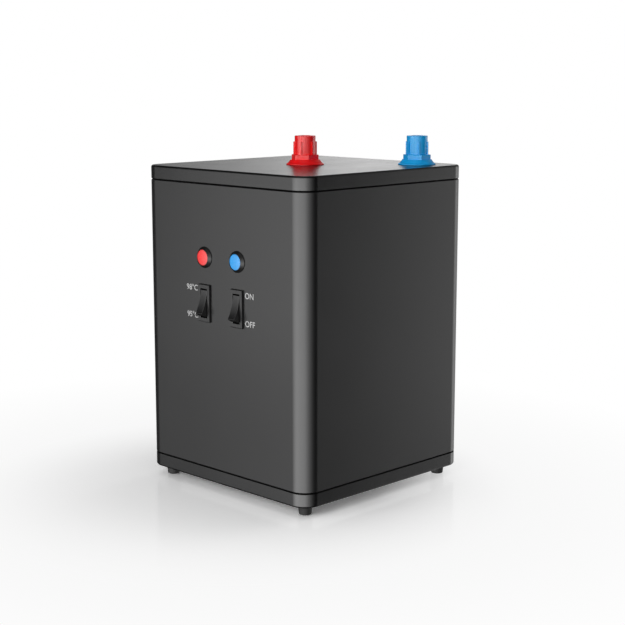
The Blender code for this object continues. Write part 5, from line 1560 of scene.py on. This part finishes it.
@dataclass(frozen=True)
class SkyBand:
    """How bright the studio looks in a mirror: pairs of degrees and shares of its strength."""

    azimuths: Stops = (
        (-180, 0.02), (-146, 0.02), (-134, 0.28), (-119, 0.95), (-102, 1.60), (-84, 1.45), (-45, 1.30),
        (-28, 0.70), (-13, 0.40), (3, 0.13), (22, 0.0), (43, 0.0), (55, 0.16), (67, 0.72), (80, 0.38),
        (97, 0.15), (125, 0.24), (132, 0.84), (138, 0.35), (146, 0.04), (180, 0.02))
    strength: float = 4.0
    heights: Stops = (
        (-90, 0.02), (-45, 0.05), (-22, 1.0), (-3, 1.0), (3, 0.5), (9, 0.4), (24, 0.28), (36, 0.12),
        (46, 0.02), (90, 0.12))

    def level(self, board: NodeBoard) -> Socket:
        """Wire the mirrored brightness by azimuth and by height.

        Args:
            board: the world's nodes.

        Returns:
            The brightness as a share of the strength.
        """
        way = board.put("TexCoord", "Generated", {})
        x, y, z = (board.put("SeparateXYZ", axis, {"Vector": way}) for axis in "XYZ")
        around = board.put("Math", "Value", {"Value": y, "Value_001": x}, operation="ARCTAN2")
        upward = board.put("Math", "Value", {"Value": z}, operation="ARCSINE")
        return board.times(self.ramp(board, around, math.pi, self.azimuths),
                           self.ramp(board, upward, QUARTER, self.heights))

    @staticmethod
    def ramp(board: NodeBoard, angle: Socket, limit: float, stops: Stops) -> Socket:
        """Wire a brightness that follows an angle.

        Args:
            board: the world's nodes.
            angle: the angle in radians.
            limit: the largest angle either way.
            stops: pairs of degrees and brightness.

        Returns:
            The brightness.
        """
        middle = 0.5
        level = board.put("ValToRGB", "Color", {"Fac": board.between(angle, 0, 1, -limit, limit)})
        marks = level.node.color_ramp.elements
        while len(marks) < len(stops):
            marks.new(middle)
        for mark, (degrees, share) in zip(marks, stops):
            mark.position = middle + degrees / (2 * math.degrees(limit))
            mark.color = (share, share, share, 1)
        return level


class SoftBoxUse(Enum):
    """Whether a soft light is only seen in mirrors or only gives plain light."""

    MIRRORED = "mirrored"
    PLAIN = "plain"


@dataclass(frozen=True)
class SoftBox:
    """A rectangular soft light aimed at the object."""

    name: str
    azimuth: float
    elevation: float
    distance: float
    width: float
    height: float
    level: float
    use: SoftBoxUse

    def build(self, aim: Vector) -> None:
        """Hang the light and point it at the object.

        Args:
            aim: the point that it faces.
        """
        azimuth, elevation = math.radians(self.azimuth), math.radians(self.elevation)
        flat = math.cos(elevation)
        way = Vector((math.cos(azimuth) * flat, math.sin(azimuth) * flat, math.sin(elevation)))
        data = bpy.data.lights.new(self.name, "AREA")
        data.shape = "RECTANGLE"
        data.size, data.size_y = self.width, self.height
        data.energy = self.level * self.width * self.height * math.pi
        light = bpy.data.objects.new(self.name, data)
        light.location = aim + way * self.distance
        light.rotation_euler = (-way).to_track_quat("-Z", "Y").to_euler()
        light.visible_camera = False
        light.visible_diffuse = self.use is SoftBoxUse.PLAIN
        light.visible_glossy = self.use is SoftBoxUse.MIRRORED
        bpy.context.scene.collection.objects.link(light)


@dataclass
class Studio:
    """Pale floor, plain soft light, white surroundings and the camera."""

    sky: SkyBand = SkyBand()
    softboxes: tuple[SoftBox, ...] = (
        SoftBox("front_softbox", -88, 17, 1.5, 1.9, 0.9, 2.4, SoftBoxUse.PLAIN),
        SoftBox("rear_softbox", 84, 32, 1.6, 1.2, 0.9, 0.66, SoftBoxUse.PLAIN),
        SoftBox("left_card", -120, 4, 0.7, 0.4, 0.4, 0.86, SoftBoxUse.MIRRORED),
        SoftBox("right_card", 58, 4, 0.8, 0.4, 0.7, 0.41, SoftBoxUse.MIRRORED),
    )
    aim: Place = (0.0, 0.0, 0.13)
    plain_level: float = 0.41
    floor_radius: float = 8.0
    floor_depth: float = 0.0002
    floor_tone: float = 0.80
    floor_shown: float = 1.65
    floor_gloss: float = 0.13
    fade_middle: Place = (-0.01, -0.06, 0.0)
    fade_start: float = 0.09
    fade_stop: float = 0.235
    near_white: float = 0.93
    white_start: float = 0.20
    white_stop: float = 0.45
    camera_place: Place = (0.8297, -0.8262, 0.3469)
    camera_turn: Place = (math.radians(80.02), 0.0, math.radians(44.82))
    lens: float = 80.46
    sensor: float = 36.0

    def build(self) -> None:
        """Set up the studio."""
        bpy.context.scene.view_settings.view_transform = "Standard"
        self.camera()
        self.floor()
        self.surroundings()
        for softbox in self.softboxes:
            softbox.build(Vector(self.aim))

    def camera(self) -> None:
        """The camera at the photograph's viewpoint."""
        data = bpy.data.cameras.new("camera")
        data.lens = self.lens
        data.sensor_width = self.sensor
        camera = bpy.data.objects.new("camera", data)
        camera.location = self.camera_place
        camera.rotation_euler = self.camera_turn
        bpy.context.scene.collection.objects.link(camera)
        bpy.context.scene.camera = camera

    def floor(self) -> None:
        """A wide pale floor that pales to white away from the object, and is clear from below."""
        clear_selection()
        bpy.ops.mesh.primitive_circle_add(vertices=96, radius=self.floor_radius, fill_type="NGON",
                                          location=(0, 0, -self.floor_depth))
        floor = settle(named("floor"))
        surface = Surface("floor_white")
        seen = surface.put("LightPath", "Is Camera Ray", {})
        surface.feed(Base_Color=surface.between(seen, self.floor_tone, self.floor_shown, 0, 1),
                     Roughness=self.floor_gloss)
        radius = surface.radius_from(self.fade_middle)
        away = surface.between(radius, 0, 1, self.fade_start, self.fade_stop, "SMOOTHSTEP")
        whiteness = surface.between(radius, self.near_white, 1, self.white_start, self.white_stop)
        paper = surface.put("Emission", "Emission", {"Strength": whiteness})
        shown = surface.mixed(surface.times(away, seen), surface.shader.outputs["BSDF"], paper)
        under = surface.times(surface.put("NewGeometry", "Backfacing", {}), seen)
        shown = surface.mixed(under, shown, surface.put("BsdfTransparent", "BSDF", {}))
        surface.wire(surface.tree.nodes["Material Output"], {"Surface": shown})
        floor.data.materials.append(surface.material)
        floor.visible_glossy = False

    def surroundings(self) -> None:
        """White for the camera, bright and dark bands for mirrors, and an even light for the rest."""
        world = bpy.data.worlds.new("studio")
        bpy.context.scene.world = world
        world.use_nodes = True
        board = NodeBoard(world.node_tree)
        board.tree.nodes.clear()
        even = (1, 1, 1, 1)
        white, mirrored, shown = (
            board.put("Background", "Background", {"Color": colour, "Strength": strength})
            for colour, strength in ((even, 1.0), (self.sky.level(board), self.sky.strength),
                                     (even, self.plain_level)))
        for ray, light in (("Glossy", mirrored), ("Transmission", white), ("Camera", white)):
            shown = board.mixed(board.put("LightPath", f"Is {ray} Ray", {}), shown, light)
        board.wire(board.tree.nodes.new("ShaderNodeOutputWorld"), {"Surface": shown})


def main() -> None:
    """Build the sub-assemblies in order, report their pieces and set up the studio."""
    logging.basicConfig(level=logging.INFO, format="%(message)s")
    shelf = FinishShelf()
    assemblies: list[SubAssembly] = [
        SteelSleeve(shelf),
        SnapCap(shelf),
        SnapCap(shelf, kind=CapKind.BASE, height=0.0117),
        RubberFeet(shelf),
        HoseConnector(shelf),
        HoseConnector(shelf, water=Water.COLD, spot=COLD_SPOT, slot="cold_blue",
                      rib_phase=math.radians(-39)),
        PilotLamp(shelf),
        PilotLamp(shelf, colour=LampColour.BLUE, place=(PANEL_X, -CASING_HALF, LAMP_Z)),
        RockerSwitch(shelf),
        RockerSwitch(shelf, use=SwitchUse.POWER, place=(PANEL_X, -CASING_HALF, SWITCH_Z)),
        PanelPrint(shelf),
        CordGland(shelf),
        DrainScrew(shelf),
        HiddenWorks(shelf),
    ]
    for assembly in assemblies:
        assembly.build()
        for piece in assembly.pieces:
            LOG.info("%s: %s", type(assembly).__name__, piece.name)
    Studio().build()


if __name__ == "__main__":
    main()
